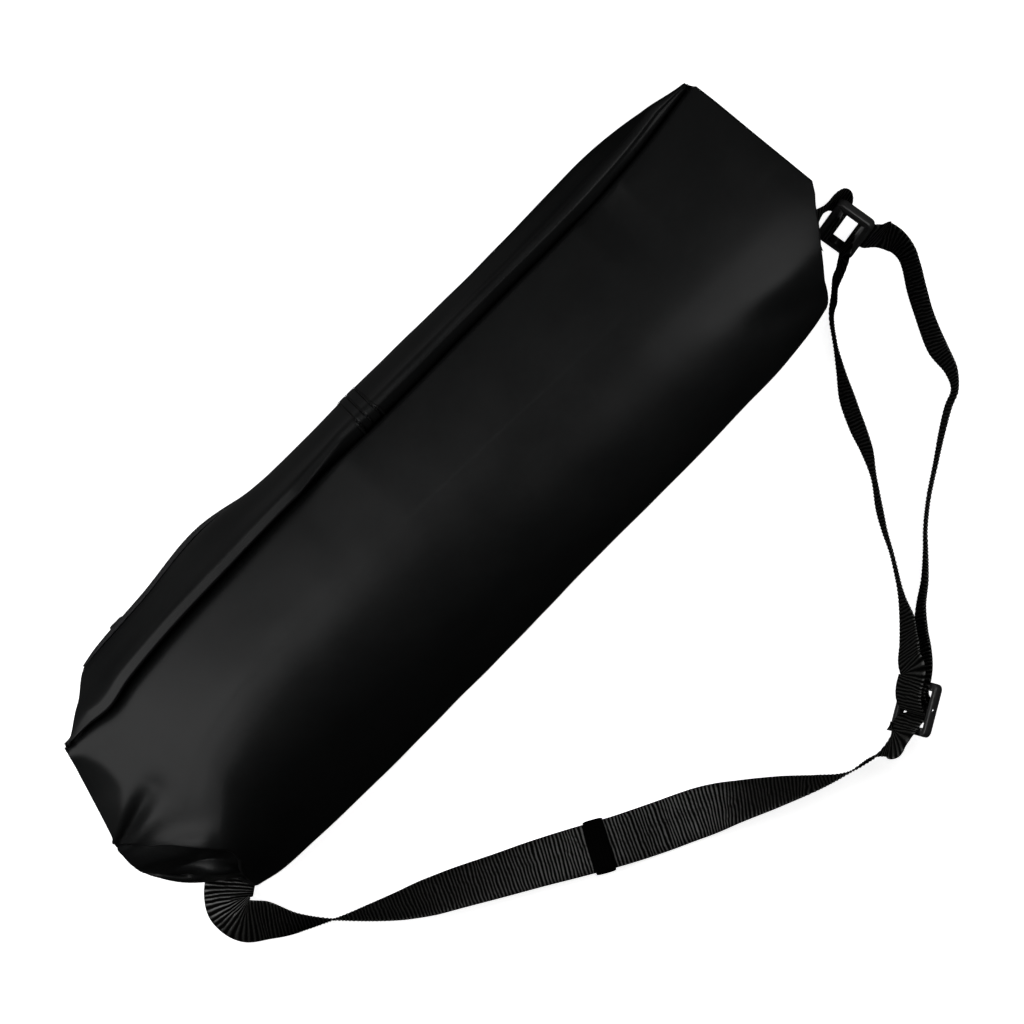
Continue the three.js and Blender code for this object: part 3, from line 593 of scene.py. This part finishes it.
def tape_finish():
    finish = Finish("zip_tape")
    place, along, across = finish.cloth_place()
    twill = ((along + across) * (2 * math.pi / 0.8)).sine()
    rib = (across * (2 * math.pi / 0.5)).sine()
    lint = finish.node("ShaderNodeTexNoise", {}, {"Vector": place, "Scale": 0.6, "Detail": 5.0})
    stops = [(0.3, (0.010, 0.010, 0.011)), (0.75, (0.026, 0.026, 0.027))]
    relief = {"Strength": 0.8, "Distance": 0.001, "Height": twill * 0.06 + rib * 0.05}
    return finish.close({
        "Specular IOR Level": 0.25,
        "Base Color": finish.node("ShaderNodeValToRGB", {"stops": stops}, {"Fac": lint}),
        "Roughness": 0.62 + lint * 0.2,
        "Normal": finish.node("ShaderNodeBump", {}, relief),
    })


zip_f, zip_t = np.meshgrid(np.sin(np.linspace(0, np.pi / 2, 44)), np.linspace(0, 1, 200))
zip_grid = zip_point(zip_f, lerp(*GUSSET_ENDS["zip"], zip_t))
zip_tape = cloth_sheet("zip_tape", zip_grid, tape_finish(), TAPE_THICK)
coil_start, coil_stop = GUSSET_ENDS["zip"][0] + COIL_END, GUSSET_ENDS["zip"][1] - COIL_END
teeth = []
for x in np.arange(coil_start, coil_stop, COIL_PITCH):
    ends = (zip_point(COIL_AT + s * TOOTH["reach"], x + s * TOOTH["lean"]) for s in (-1, 1))
    teeth.append([end + [0, TOOTH["proud"], 0] for end in ends])
coil = belongs(sewn("zip_coil", teeth, COIL_RADIUS, sewing_thread), "zip_tape")
belongs(zip_tape, "zip_tape", "zip_strip")

# Zip slider: a small lacquered body with a waist, which rides the coil near the bottom end. A lacquered pull
# with an opening in it hangs from the body.
ZIP_SLIDER_X = -187.6
ZIP_TILT = math.radians(-17)
ZIP_BODY = {"half": 5.5, "wide": 3.5, "taper": 0.6, "waist": 0.25, "thick": 1.4, "proud": 1.2}
PULL = {"u": 6, "v": 14, "open_u": 2.6, "open_v": 9, "thick": 1.2, "corner": 2.4}
PULL_HANG = 9.5
PULL_PROUD = 2.0
BODY_SQUARE = 0.5
BAR_SQUARE = 0.45


def plastic_finish(name, dark, light, gloss, rough):
    finish = Finish(name)
    place = finish.node("ShaderNodeTexCoord", {}, {}, "Object")
    grain = finish.node("ShaderNodeTexNoise", {}, {"Vector": place, "Scale": 1900.0, "Detail": 3.0})
    flow = finish.node("ShaderNodeTexNoise", {}, {"Vector": place, "Scale": 90.0, "Detail": 4.0})
    stops = [(0.3, (dark, dark, dark)), (0.75, (light, light, light))]
    relief = {"Strength": 0.25, "Distance": 0.0002, "Height": grain}
    return finish.close({
        "Specular IOR Level": gloss,
        "Base Color": finish.node("ShaderNodeValToRGB", {"stops": stops}, {"Fac": flow}),
        "Roughness": rough + flow * 0.14,
        "Normal": finish.node("ShaderNodeBump", {}, relief),
    })


def squarish(wave, power):
    return np.sign(wave) * np.abs(wave) ** power


def moulded_loop(place, u, v, open_u, open_v, thick, corner):
    turns = round_turns(24)
    rows = []
    for side_u, side_v, first in ((1, 1, 0), (-1, 1, 90), (-1, -1, 180), (1, -1, 270)):
        for a in np.radians(np.linspace(first, first + 90, 9)):
            edge_u = side_u * (u / 2 - corner) + corner * math.cos(a)
            edge_v = side_v * (v / 2 - corner) + corner * math.sin(a)
            bar = 0.5 / math.hypot(math.cos(a) / (u - open_u), math.sin(a) / (v - open_v))
            reach = (squarish(np.cos(turns), BAR_SQUARE) - 1) * bar / 2
            rise = squarish(np.sin(turns), BAR_SQUARE) * thick / 2
            rows.append(np.stack([edge_u + math.cos(a) * reach, edge_v + math.sin(a) * reach, rise], -1))
    return np.array(rows) @ np.array(place[:3]) + place[3]


def ring_piece(name, ring, finish):
    count, around = ring.shape[:2]
    index = np.arange(count * around).reshape(count, around)
    after, beside = np.roll(index, -1, 0), np.roll(index, -1, 1)
    quads = np.stack([index, after, np.roll(after, -1, 1), beside], -1)
    return mesh_piece(name, ring, quads.reshape(-1, 4).tolist(), finish)


zip_lacquer = plastic_finish("zip_lacquer", 0.003, 0.006, 0.15, 0.4)
zip_along, zip_up, zip_out = np.array([
    (1, 0, 0),
    (0, -math.sin(ZIP_TILT), math.cos(ZIP_TILT)),
    (0, math.cos(ZIP_TILT), math.sin(ZIP_TILT)),
])
zip_middle = zip_point(COIL_AT, ZIP_SLIDER_X) + [0, ZIP_BODY["proud"], 0]
turns = round_turns(24)
rows = []
for s in np.linspace(-1, 1, 25):
    shut = (1 - abs(s) ** 6) ** 0.5
    taper = ZIP_BODY["taper"] * (s + 1) / 2 + ZIP_BODY["waist"] * math.cos(math.pi * s)
    wide = np.outer((ZIP_BODY["wide"] - taper) * shut * squarish(np.cos(turns), BODY_SQUARE), zip_up)
    thick = np.outer(ZIP_BODY["thick"] * shut * squarish(np.sin(turns), BODY_SQUARE), zip_out)
    rows.append(zip_middle + zip_along * ZIP_BODY["half"] * s + wide + thick)
zip_slider = grid_mesh("zip_slider_body", np.array(rows), zip_lacquer, True)
pull_middle = zip_middle - zip_up * PULL_HANG + zip_out * PULL_PROUD
pull_ring = moulded_loop((zip_along, zip_up, zip_out, pull_middle), **PULL)
zip_pull = ring_piece("zip_pull", pull_ring, zip_lacquer)
belongs(zip_slider, "black_plastic", "zip_slider")
belongs(zip_pull, "black_plastic")

# Base panel: the piece of cloth that closes the bottom end, sewn in behind the hem. The load swells it out
# under the front's rolled lip, most at the strap side, where slack cloth makes a soft fold and a swell.
BASE = {"end": 0, "centre": (-250, -8, 42), "out": -1, "far": 7, "strap": 47}
RIM_TUCK = {"hem": 2.6, "gusset": 2.4, "crease": 3}
RIM_POINTS = 220
PANEL_ROWS = 40
PANEL_RIPPLE = (26, 1.6, 5.5)
PANEL_BULGE = (2.5, 1.4)
# Places across the bag and a value at each: how far the rim lies behind the hem, and the strap's side
RIM_DEPTH = ([-30, 10], [5, 1])
STRAP_SIDE = ([-50, 20], [1, 0])
# Places from the centre to the rim: slack as a film at the centre, and taut from there to the rim
PANEL_TAUT = ([0.1, 0.55], [0, 1])
# Heights where the panel's own forms come in: a fold as on the front, a fall from the lip, and a round swell
PANEL_UPPER = ([42, 54], [0, 1])
PANEL_FOLD = ((-266, -44), (-259, -50), -4.0, 4, 4)
PANEL_FALL = {"start": (-268, -23), "out": (-0.675, -0.736), "slope": 0.8, "lead": 4}
PANEL_FAR = ([-60, -46], [0, 1])
PANEL_SWELL = {"centre": (-249, -57), "top": 73, "round": 27}
PANEL_SOFT = 2


def panel_rim(end, out):
    edge_rows = ([0.002, 0.006], [0.998, 0.994])[end]
    edge = main_point(*np.meshgrid(np.linspace(1, 6, 160), edge_rows))
    inward = face_normals(edge if end == 0 else edge[::-1])[0]
    zip_side = zip_point(np.linspace(0, 1, 12), np.full(12, GUSSET_ENDS["zip"][end], float))
    f = np.linspace(0.05, 0.42, 20)
    gusset_side = gusset_point(f, gusset_end(f, end))
    x = GUSSET_ENDS["crease"][end]
    deep = tube("crease_z", x) - tube("valley", x) - SLIT_DEPTH - CLOTH_THICK
    crease_sides = [[x, tube("crease_y", x) + side * RIM_TUCK["crease"], deep] for side in (1, -1)]
    rim = np.concatenate([
        edge[0] - inward * RIM_TUCK["hem"],
        zip_side - [0, RIM_TUCK["gusset"], 0],
        gusset_side - [0, RIM_TUCK["gusset"], 0],
        crease_sides,
    ])
    rim = np.concatenate([rim, rim[:1]])
    run = run_length(rim)
    even = np.linspace(0, run[-1], RIM_POINTS + 1)[:-1]
    rim = np.stack([np.interp(even, run, axis) for axis in rim.T], -1)
    for _ in range(3):
        rim = 0.25 * np.roll(rim, 1, 0) + 0.5 * rim + 0.25 * np.roll(rim, -1, 0)
    rim[:, 0] -= out * np.interp(rim[:, 1], *RIM_DEPTH)
    return rim


def end_panel(end, centre, out, far, strap):
    rim = panel_rim(end, out)
    strap_side = smooth(np.interp(rim[:, 1], *STRAP_SIDE))
    middle = np.array([*centre, (far + strap) / 2])
    spread = np.column_stack([rim, lerp(far, strap, strap_side)]) - middle
    waves = np.fft.rfft(spread, axis=0)
    order = np.array([2, *range(1, len(waves))])[:, None]
    rows = []
    for share in np.sin(np.linspace(np.pi / 2, 0.02, PANEL_ROWS)):
        film = np.fft.irfft(waves * share**order, len(rim), axis=0)
        ring = middle + lerp(film, spread * share, smooth(np.interp(share, *PANEL_TAUT)))
        ring[:, 0] += out * ring[:, 3] * (1 - share ** PANEL_BULGE[0]) ** PANEL_BULGE[1]
        rows.append(ring[:, :3])
    grid = np.array(rows)
    grid = grid[:, ::-1] if out > 0 else grid
    ease = np.sin(np.pi * np.linspace(0, 1, PANEL_ROWS))[:, None, None]
    grid = grid + np.array([out, 0, 0.3]) * ease * ripple(grid, *PANEL_RIPPLE)
    return np.concatenate([grid, grid[:, :1]], 1)


def upper_share(grid):
    return np.interp(grid[..., 2], *PANEL_UPPER)


base_grid = end_panel(**BASE)
fold_start, fold_end, fold_rise, *fold_widths = PANEL_FOLD
fold = fold_shape(base_grid[..., 0], base_grid[..., 1], fold_start, fold_end, *fold_widths)[1]
base_grid[..., 2] += fold_rise * upper_share(base_grid) * fold
past = (base_grid[..., :2] - PANEL_FALL["start"]) @ np.array(PANEL_FALL["out"]) + PANEL_FALL["lead"]
far_side = np.interp(base_grid[..., 1], *PANEL_FAR)
base_grid[..., 2] -= PANEL_FALL["slope"] * far_side * upper_share(base_grid) * soft_ramp(past, PANEL_SOFT)
gap = np.linalg.norm(base_grid[..., :2] - PANEL_SWELL["centre"], axis=-1)
over = PANEL_SWELL["top"] - gap**2 / PANEL_SWELL["round"] - base_grid[..., 2]
base_grid[..., 2] += upper_share(base_grid) * soft_ramp(over, PANEL_SOFT)
base_panel = cloth_sheet("base_panel_cloth", base_grid, coated_cloth)
belongs(base_panel, "coated_cloth", "base_panel")

# Top panel: the same kind of piece of cloth at the top end, sewn in behind the hem of the front and the
# back. It is pulled nearly flat between its seams.
TOP = {"end": 1, "centre": (257, -5, 37), "out": 1, "far": 3, "strap": 6}
top_panel = cloth_sheet("top_panel_cloth", end_panel(**TOP), coated_cloth)
belongs(top_panel, "coated_cloth", "top_panel")

# Strap, running length: flat black ribbed webbing that comes from under the bottom end, lies on the surface
# in two half twists, passes over the slider's pin and goes into the end loop.
WEB_WIDTH = 30
WEB_THICK = 1.6
RIB = 2.1
RIB_STEPS = 7
GROOVE_THICK = 0.4
WEB_COLUMNS = 13
# Unevenness of the ribs, each with the length that it changes over and its size
WEAVE = {"jitter": (5, 0.34), "sway": (9, 0.6), "loose": (3, 0.24)}
LOOSE_YARNS = 7
# Where the strap lies: x, y, how far it leans over in degrees, and how far it is off the surface
RUN_FROM_BAG = [
    (-240.9, -61.7, 172, 1.6), (-254.5, -71.2, 166), (-260, -77.8, 156), (-259.6, -88.5, 149),
    (-249.4, -98.9, 138), (-237.2, -113, 111), (-221.8, -126.3, 90), (-204.7, -138.5, 71),
    (-189.7, -148.2, 56), (-174, -156.8, 43), (-157.9, -165.2, 37), (-136.7, -176.9, 31),
    (-115.2, -188.5, 23, 0.5), (-94, -200.6, 15, 2.4), (-73.5, -212.4, 11, 2.4), (-52, -223.5, 5, 0.5),
    (-30.2, -234, 10), (-8.8, -245.9, 36), (11.9, -258.6, 54), (32.1, -271.4, 74), (48.3, -280, 90),
    (62.5, -283.5, 94, 0.6), (75.5, -286.1, 78, 3),
]
RUN_TO_LOOP = [
    (127, -262, 66, 4.2), (136.4, -252.6, 74, 1.5), (147.5, -242.2, 80), (159.8, -233.2, 83),
    (172.6, -221.3, 86), (180.9, -213, 87), (194.6, -202, 87), (214.4, -189.1, 86), (229.2, -179.5, 84),
    (241.8, -172.2, 83), (251.1, -168.1, 83), (257.9, -158.6, 76), (262, -142.8, 67), (270.2, -124.5, 69),
    (277.7, -111, 68), (285, -99.5, 69), (288.6, -91.6, 67), (289.2, -82.5, 62), (286.5, -75, 57),
]
# Where the strap is led through hardware: how far along it, how far off its plane, and a turn in degrees
RUN_THROUGH_SLIDER = [
    (-18.5, 7.4), (-14, 5.2), (-11, 3.7), (-8.5, 2.6), (-6.3, 0), (-4, -3.6), (0, -5), (4, -3.6), (6.3, 0),
    (8.5, 2.6), (11, 3.7), (16.5, 3.9),
]
RUN_ROUND_BAR = [
    (14.5, 6.5), (12.3, 4.8), (9.75, 4.25), (6.8, 4.2), (5.4, 3.7), (4.85, 2.3), (4.85, 0.15),
]


def hardware_place(centre, along, across):
    u = unit(np.array(along, float))
    v = np.array(across, float)
    v = unit(v - u * v.dot(u))
    return u, v, np.cross(u, v), np.array(centre, float)


def lying(rows):
    heading = unit(np.gradient(np.array([row[:2] for row in rows], float), axis=0))
    places = []
    for (x, y, lean, *raised), h in zip(rows, heading):
        flat, steep = math.cos(math.radians(lean)), math.sin(math.radians(lean))
        z = (abs(steep) * WEB_WIDTH + abs(flat) * WEB_THICK) / 2 + SEAM_GAP + sum(raised)
        places.append(((x, y, z), (h[1] * flat, -h[0] * flat, steep)))
    return places


def led(place, rows):
    u, v, w, centre = place
    places = []
    for along, off, *turned in rows:
        turn = math.radians(sum(turned))
        places.append((centre + u * along - w * off, v * math.cos(turn) + u * math.sin(turn)))
    return places


def webbing_finish(name, dark, light, gloss):
    finish = Finish(name)
    place, along, across = finish.cloth_place()
    rib = finish.node("ShaderNodeAttribute", {"attribute_name": "rib"}, {}, "Fac")
    yarn = ((across + along * 0.35) * (2 * math.pi / 1.1)).sine()
    fuzz = finish.node("ShaderNodeTexNoise", {}, {"Vector": place, "Scale": 2.4, "Detail": 4.0})
    fade = finish.node("ShaderNodeTexNoise", {}, {"Vector": place, "Scale": 0.05, "Detail": 3.0})
    drawn = finish.node("ShaderNodeVectorMath", {"operation": "MULTIPLY"}, {0: place, 1: (0.5, 0.12, 1.0)})
    streak = finish.node("ShaderNodeTexNoise", {}, {"Vector": drawn, "Scale": 1.0, "Detail": 2.0})
    stops = [(0.3, (dark, dark, dark)), (0.75, (light, light, 0.93 * light))]
    # The base colour follows the rib attribute, darker in the grooves and lighter on the crowns: this is
    # painted shade in the grooves. The fuzz and fade noise add random tone.
    painted_groove_shade_and_tone = rib * 0.55 + fuzz * 0.25 + fade * 0.2
    relief = {"Strength": 0.6, "Distance": 0.001, "Height": yarn * 0.05 + fuzz * 0.1}
    surface = {
        "Base Color": finish.node("ShaderNodeValToRGB", {"stops": stops}, {"Fac": painted_groove_shade_and_tone}),
        "Normal": finish.node("ShaderNodeBump", {}, relief),
    }
    crowns = {"Specular IOR Level": gloss, "Roughness": 0.29 + fuzz * 0.14, **surface}
    grooves = {"Specular IOR Level": 0.02, "Roughness": 0.9, **surface}
    crown, groove = (finish.node("ShaderNodeBsdfPrincipled", {}, sockets) for sockets in (crowns, grooves))
    rise = {"Value": rib + streak * 0.7 - 0.35, "From Min": 0.5, "From Max": 0.95}
    share = finish.node("ShaderNodeMapRange", {"interpolation_type": "SMOOTHSTEP"}, rise)
    return finish.cover(finish.node("ShaderNodeMixShader", {}, {"Fac": share, 1: groove, 2: crown}))


def wandering(draws, run, step, size):
    count = int(run[-1] / step)
    return np.interp(run, np.linspace(0, run[-1], count), draws.normal(0, size, count))


def rib_pattern(run, across, seed):
    draws = np.random.default_rng(seed)
    jitter, sway = (wandering(draws, run, *WEAVE[kind])[:, None] for kind in ("jitter", "sway"))
    step, size = WEAVE["loose"]
    loose = draws.normal(0, size, (int(run[-1] / step), LOOSE_YARNS))
    spots = np.linspace(0, run[-1], len(loose))
    loose = np.stack([np.interp(run, spots, yarn) for yarn in loose.T], 1)
    wander = np.stack([np.interp(across, np.linspace(-1, 1, LOOSE_YARNS), row) for row in loose])
    return 0.5 + 0.5 * np.cos(2 * np.pi * (run[:, None] + jitter + sway * across + wander) / RIB)


def webbing_length(name, places, finish, seed):
    middles, widths = (np.array([place[k] for place in places], float)[:, None, :] for k in (0, 1))
    fine = np.linspace(0, 1, 8000)
    fine_run = run_length(along_curve(np.broadcast_to(middles, (len(places), len(fine), 3)), fine))
    run = np.linspace(0, fine_run[-1], int(fine_run[-1] / RIB * RIB_STEPS))
    f = np.interp(run, fine_run, fine)
    line, width = (along_curve(np.broadcast_to(k, (len(places), len(f), 3)), f) for k in (middles, widths))
    heading = unit(np.gradient(line, axis=0))
    width = unit(width - heading * (width * heading).sum(1, keepdims=True))
    up = np.cross(width, heading)
    low = line[:, 2] - np.abs(width[:, 2]) * WEB_WIDTH / 2 - np.abs(up[:, 2]) * WEB_THICK / 2
    line[:, 2] += np.maximum(0, SEAM_GAP - low)
    across = np.sin(np.linspace(-np.pi / 2, np.pi / 2, WEB_COLUMNS))
    across = np.concatenate([across, across[-2:0:-1]])
    face = np.where(np.arange(len(across)) < WEB_COLUMNS, 1, -1)
    edge = np.sqrt(1 - np.abs(across) ** 10) * (1 - 0.25 * np.abs(across) ** 40)
    rib = rib_pattern(run, across, seed)
    height = WEB_THICK / 2 * lerp(GROOVE_THICK, 1, rib) * edge * face
    sideways = (across * WEB_WIDTH / 2)[None, :, None]
    grid = line[:, None] + width[:, None] * sideways + up[:, None] * height[..., None]
    piece = grid_mesh(name, grid[:, ::-1], finish, True)
    # The rib phase is kept on the points; the finish paints shade into the grooves from it.
    piece.data.attributes.new("rib", "FLOAT", "POINT").data.foreach_set("value", rib[:, ::-1].ravel())
    return piece


webbing = webbing_finish("webbing", 0.001, 0.02, 0.9)
slider_place = hardware_place((103.6, -281.5, 19.4), (0.87, 0.5, 0), (0.25, -0.435, 0.866))
loop_place = hardware_place((273.6, -57, 21), (0.153, -0.984, 0), (0.52, 0.08, 0.85))
run_places = [
    *lying(RUN_FROM_BAG),
    *led(slider_place, RUN_THROUGH_SLIDER),
    *lying(RUN_TO_LOOP),
    *led(loop_place, RUN_ROUND_BAR),
]
strap_run = webbing_length("strap_run_webbing", run_places, webbing, 11)
belongs(strap_run, "webbing", "strap_run")

# Strap, return: the same webbing, from the end loop back to the slider. It goes round the slider's pin, and
# its end is turned under.
RETURN_OUT_OF_LOOP = [(4.85, -0.15), (4.85, -4.9), (6.6, -10), (9.2, -17.5)]
RETURN_FROM_LOOP = [
    (248, -74.4, 96, 9), (240.4, -80, 96, 4), (231.9, -86.3, 94, 1), (222.3, -98.5, 93), (212.4, -113.2, 99),
    (202.7, -128.8, 108), (196.1, -142.5, 108), (189.9, -156.7, 103), (180.6, -171.8, 95),
    (170.6, -185.7, 97), (164.1, -196.1, 95), (156.9, -209.4, 93), (147.3, -224.5, 94), (143.1, -231, 97),
    (136.6, -241.1, 106, 0.8), (128.2, -250.8, 110, 3.5), (120.8, -258.6, 115, 7),
]
RETURN_ROUND_PIN = [
    (19, 8.8), (9, 8.2), (3, 6.6), (-1.4, 3.6), (-3.1, 0), (-2.2, -2.2), (0, -3.1), (2.2, -2.2), (3.1, 0),
    (4.2, 2.6), (6.5, 4.8), (9.5, 5.7), (13, 5.75),
]
return_places = [
    *led(loop_place, RETURN_OUT_OF_LOOP),
    *lying(RETURN_FROM_LOOP),
    *led(slider_place, RETURN_ROUND_PIN),
]
strap_return = webbing_length("strap_return_webbing", return_places, webbing, 12)
belongs(strap_return, "webbing", "strap_return")

# Keeper: a short sleeve of soft black webbing, darker than the strap. It is slid over the strap and holds
# its run flat.
KEEPER = {"length": 12, "wide": 32.4, "thick": 5.0, "wall": 1.2, "swell": 0.25, "rim": 0.5, "weave": 0.12}
KEEPER_STEPS = 27
KEEPER_SQUARE = {"wide": 0.16, "thick": 0.5}
keeper_u, keeper_v, keeper_w, keeper_centre = hardware_place(
    (-83.9, -206.6, 6.9), (0.867, -0.498, 0), (-0.485, -0.845, 0.225)
)
turns = round_turns(72)
rows = []
for outer, draw in ((True, 0), (False, KEEPER["wall"])):
    for s in np.linspace(-1, 1, KEEPER_STEPS) * (1 if outer else -1):
        swell = KEEPER["swell"] * math.cos(1.4 * s) - outer * KEEPER["rim"] * abs(s) ** 10 - draw
        weave = outer * KEEPER["weave"] * math.cos(math.pi * s * KEEPER["length"] / RIB)
        wide = squarish(np.cos(turns), KEEPER_SQUARE["wide"]) * (KEEPER["wide"] / 2 + swell)
        thick = squarish(np.sin(turns), KEEPER_SQUARE["thick"]) * (KEEPER["thick"] / 2 + swell)
        thick = thick + weave * np.sign(np.sin(turns))
        place = keeper_centre + keeper_u * s * KEEPER["length"] / 2
        rows.append(place + np.outer(wide, keeper_v) + np.outer(thick, keeper_w))
keeper_webbing = webbing_finish("keeper_webbing", 0.0008, 0.0025, 0.08)
strap_keeper = ring_piece("strap_keeper_sleeve", np.array(rows), keeper_webbing)
belongs(strap_keeper, "webbing", "strap_keeper")

# Slider: a frame of black moulded plastic with rounded bars. The strap is led through it and over its pin,
# to set the strap's length.
SLIDER = {"u": 32, "v": 40, "open_u": 22, "open_v": 31.6, "thick": 5, "corner": 4}
moulded_plastic = plastic_finish("moulded_plastic", 0.022, 0.034, 0.5, 0.28)
slider_frame = ring_piece("slider_frame_moulding", moulded_loop(slider_place, **SLIDER), moulded_plastic)
belongs(slider_frame, "black_plastic", "slider_frame")

# Pin: bright plated steel wire with domed ends. It is pressed across the slider's frame, and the strap's
# return is turned round it.
PIN = {"radius": 2, "length": 40, "proud": 0.4}


def steel_finish():
    finish = Finish("plated_steel")
    place = finish.node("ShaderNodeTexCoord", {}, {}, "Object")
    brushed = finish.node("ShaderNodeTexNoise", {}, {"Vector": place, "Scale": 700.0, "Detail": 4.0})
    stops = [(0.3, (0.5, 0.51, 0.53)), (0.7, (0.7, 0.71, 0.73))]
    return finish.close({
        "Metallic": 1.0,
        "Base Color": finish.node("ShaderNodeValToRGB", {"stops": stops}, {"Fac": brushed}),
        "Roughness": 0.16 + brushed * 0.18,
    })


pin_u, pin_v, pin_w, pin_centre = slider_place
turns = round_turns(24)
around = np.outer(np.cos(turns), pin_u) - np.outer(np.sin(turns), pin_w)
rows = []
for s in np.sin(np.linspace(-np.pi / 2, np.pi / 2, 33)):
    radius = PIN["radius"] * (1 - abs(s) ** 24) ** 0.5 + 0.02
    rows.append(pin_centre + pin_v * s * (PIN["length"] / 2 + PIN["proud"]) + radius * around)
slider_pin = grid_mesh("slider_pin_steel", np.array(rows), steel_finish(), True)
belongs(slider_pin, "steel_pin", "slider_pin")

# End loop: a rectangular loop of the same moulded plastic at the top end. The tab holds it by its inner bar,
# and the strap turns round its outer bar.
LOOP = {"u": 25, "v": 44, "open_u": 12, "open_v": 31.6, "thick": 6, "corner": 4}
end_loop = ring_piece("end_loop_moulding", moulded_loop(loop_place, **LOOP), moulded_plastic)
belongs(end_loop, "black_plastic", "end_loop")

# End tab: a short length of the strap's webbing at the top end. It is sewn into the top seam and turned
# round the end loop's inner bar.
TAB = [
    (-14, -17.6, -50), (-15.2, -11, -26), (-16.2, -4, -6), (-16.6, 3), (-16, 9), (-13.8, 13.2), (-10.6, 14),
    (-7.4, 11.5), (-5.4, 7), (-4.85, 2.5), (-4.85, -1.5), (-5.6, -4.6), (-7.6, -6.2),
]
end_tab = webbing_length("end_tab_webbing", led(loop_place, TAB), webbing, 13)
belongs(end_tab, "webbing", "end_tab")

# Studio: a plain pale floor, a broad soft light from the gusset's side with two weaker ones, and a faint one
# from the floor. The camera looks straight down from high above the bag.
IMAGE_RIGHT = Vector((0.70007, -0.71407, 0))
IMAGE_UP = Vector((0.71407, 0.70007, 0))
VIEW_CENTRE = Vector((0.0197, -0.0337, 0))
VIEW_WIDTH = 0.5953
VIEW_HEIGHT = 14.0
SHARP_HEIGHT = 0.05
SENSOR = 36
FLOOR_HALF = 40
AIM_HEIGHT = 0.06
WORLD_STRENGTH = 0.008


def floor_finish():
    finish = Finish("studio_floor")
    speckle = finish.node("ShaderNodeTexNoise", {}, {"Scale": 3.0, "Detail": 4.0})
    stops = [(0.3, (0.86, 0.86, 0.86)), (0.7, (0.9, 0.9, 0.9))]
    return finish.close({
        "Base Color": finish.node("ShaderNodeValToRGB", {"stops": stops}, {"Fac": speckle}),
        "Roughness": 0.8,
        "Specular IOR Level": 0.1,
        "Emission Color": (1, 1, 1, 1),
        "Emission Strength": 0.9,
    })


floor_corners = np.array([(-1, -1, 0), (1, -1, 0), (1, 1, 0), (-1, 1, 0)]) * FLOOR_HALF / MM
floor = mesh_piece("studio_floor", floor_corners, [(0, 1, 2, 3)], floor_finish())
floor.visible_glossy = False
floor.visible_diffuse = False

aim_bag = VIEW_CENTRE + Vector((0, 0, AIM_HEIGHT))
for name, right, up, height, size, power, aim in (
    ("key_softbox", -0.66, -0.06, 0.56, 0.87, 5.3, aim_bag),
    ("fill_softbox", 0.33, 0.15, 0.5, 0.41, 1.1, aim_bag),
    ("far_softbox", -0.10, 0.90, 1.24, 1.12, 0.7, aim_bag),
    ("floor_bounce", -0.3, 0.23, 0.002, 0.5, 0.05, None),
):
    lamp = bpy.data.lights.new(name, "AREA")
    lamp.shape, lamp.size, lamp.energy = "DISK", size, power
    light = bpy.data.objects.new(name, lamp)
    light.visible_camera = False
    light.location = VIEW_CENTRE + IMAGE_RIGHT * right + IMAGE_UP * up + Vector((0, 0, height))
    towards = aim - light.location if aim else Vector((0, 0, 1))
    light.rotation_euler = towards.to_track_quat("-Z", "Y").to_euler()
    bpy.context.scene.collection.objects.link(light)

world = bpy.data.worlds.new("studio")
world.use_nodes = True
world.node_tree.nodes["Background"].inputs["Color"].default_value = (1, 1, 1, 1)
world.node_tree.nodes["Background"].inputs["Strength"].default_value = WORLD_STRENGTH
bpy.context.scene.world = world
bpy.context.scene.view_settings.view_transform = "Standard"

camera_data = bpy.data.cameras.new("camera")
camera_data.sensor_width = SENSOR
camera_data.lens = SENSOR * (VIEW_HEIGHT - SHARP_HEIGHT) / VIEW_WIDTH
camera_data.clip_end = 100
camera = bpy.data.objects.new("camera", camera_data)
turned = Matrix((IMAGE_RIGHT, IMAGE_UP, (0, 0, 1))).transposed().to_4x4()
camera.matrix_world = Matrix.Translation(VIEW_CENTRE + Vector((0, 0, VIEW_HEIGHT))) @ turned
bpy.context.scene.collection.objects.link(camera)
bpy.context.scene.camera = camera
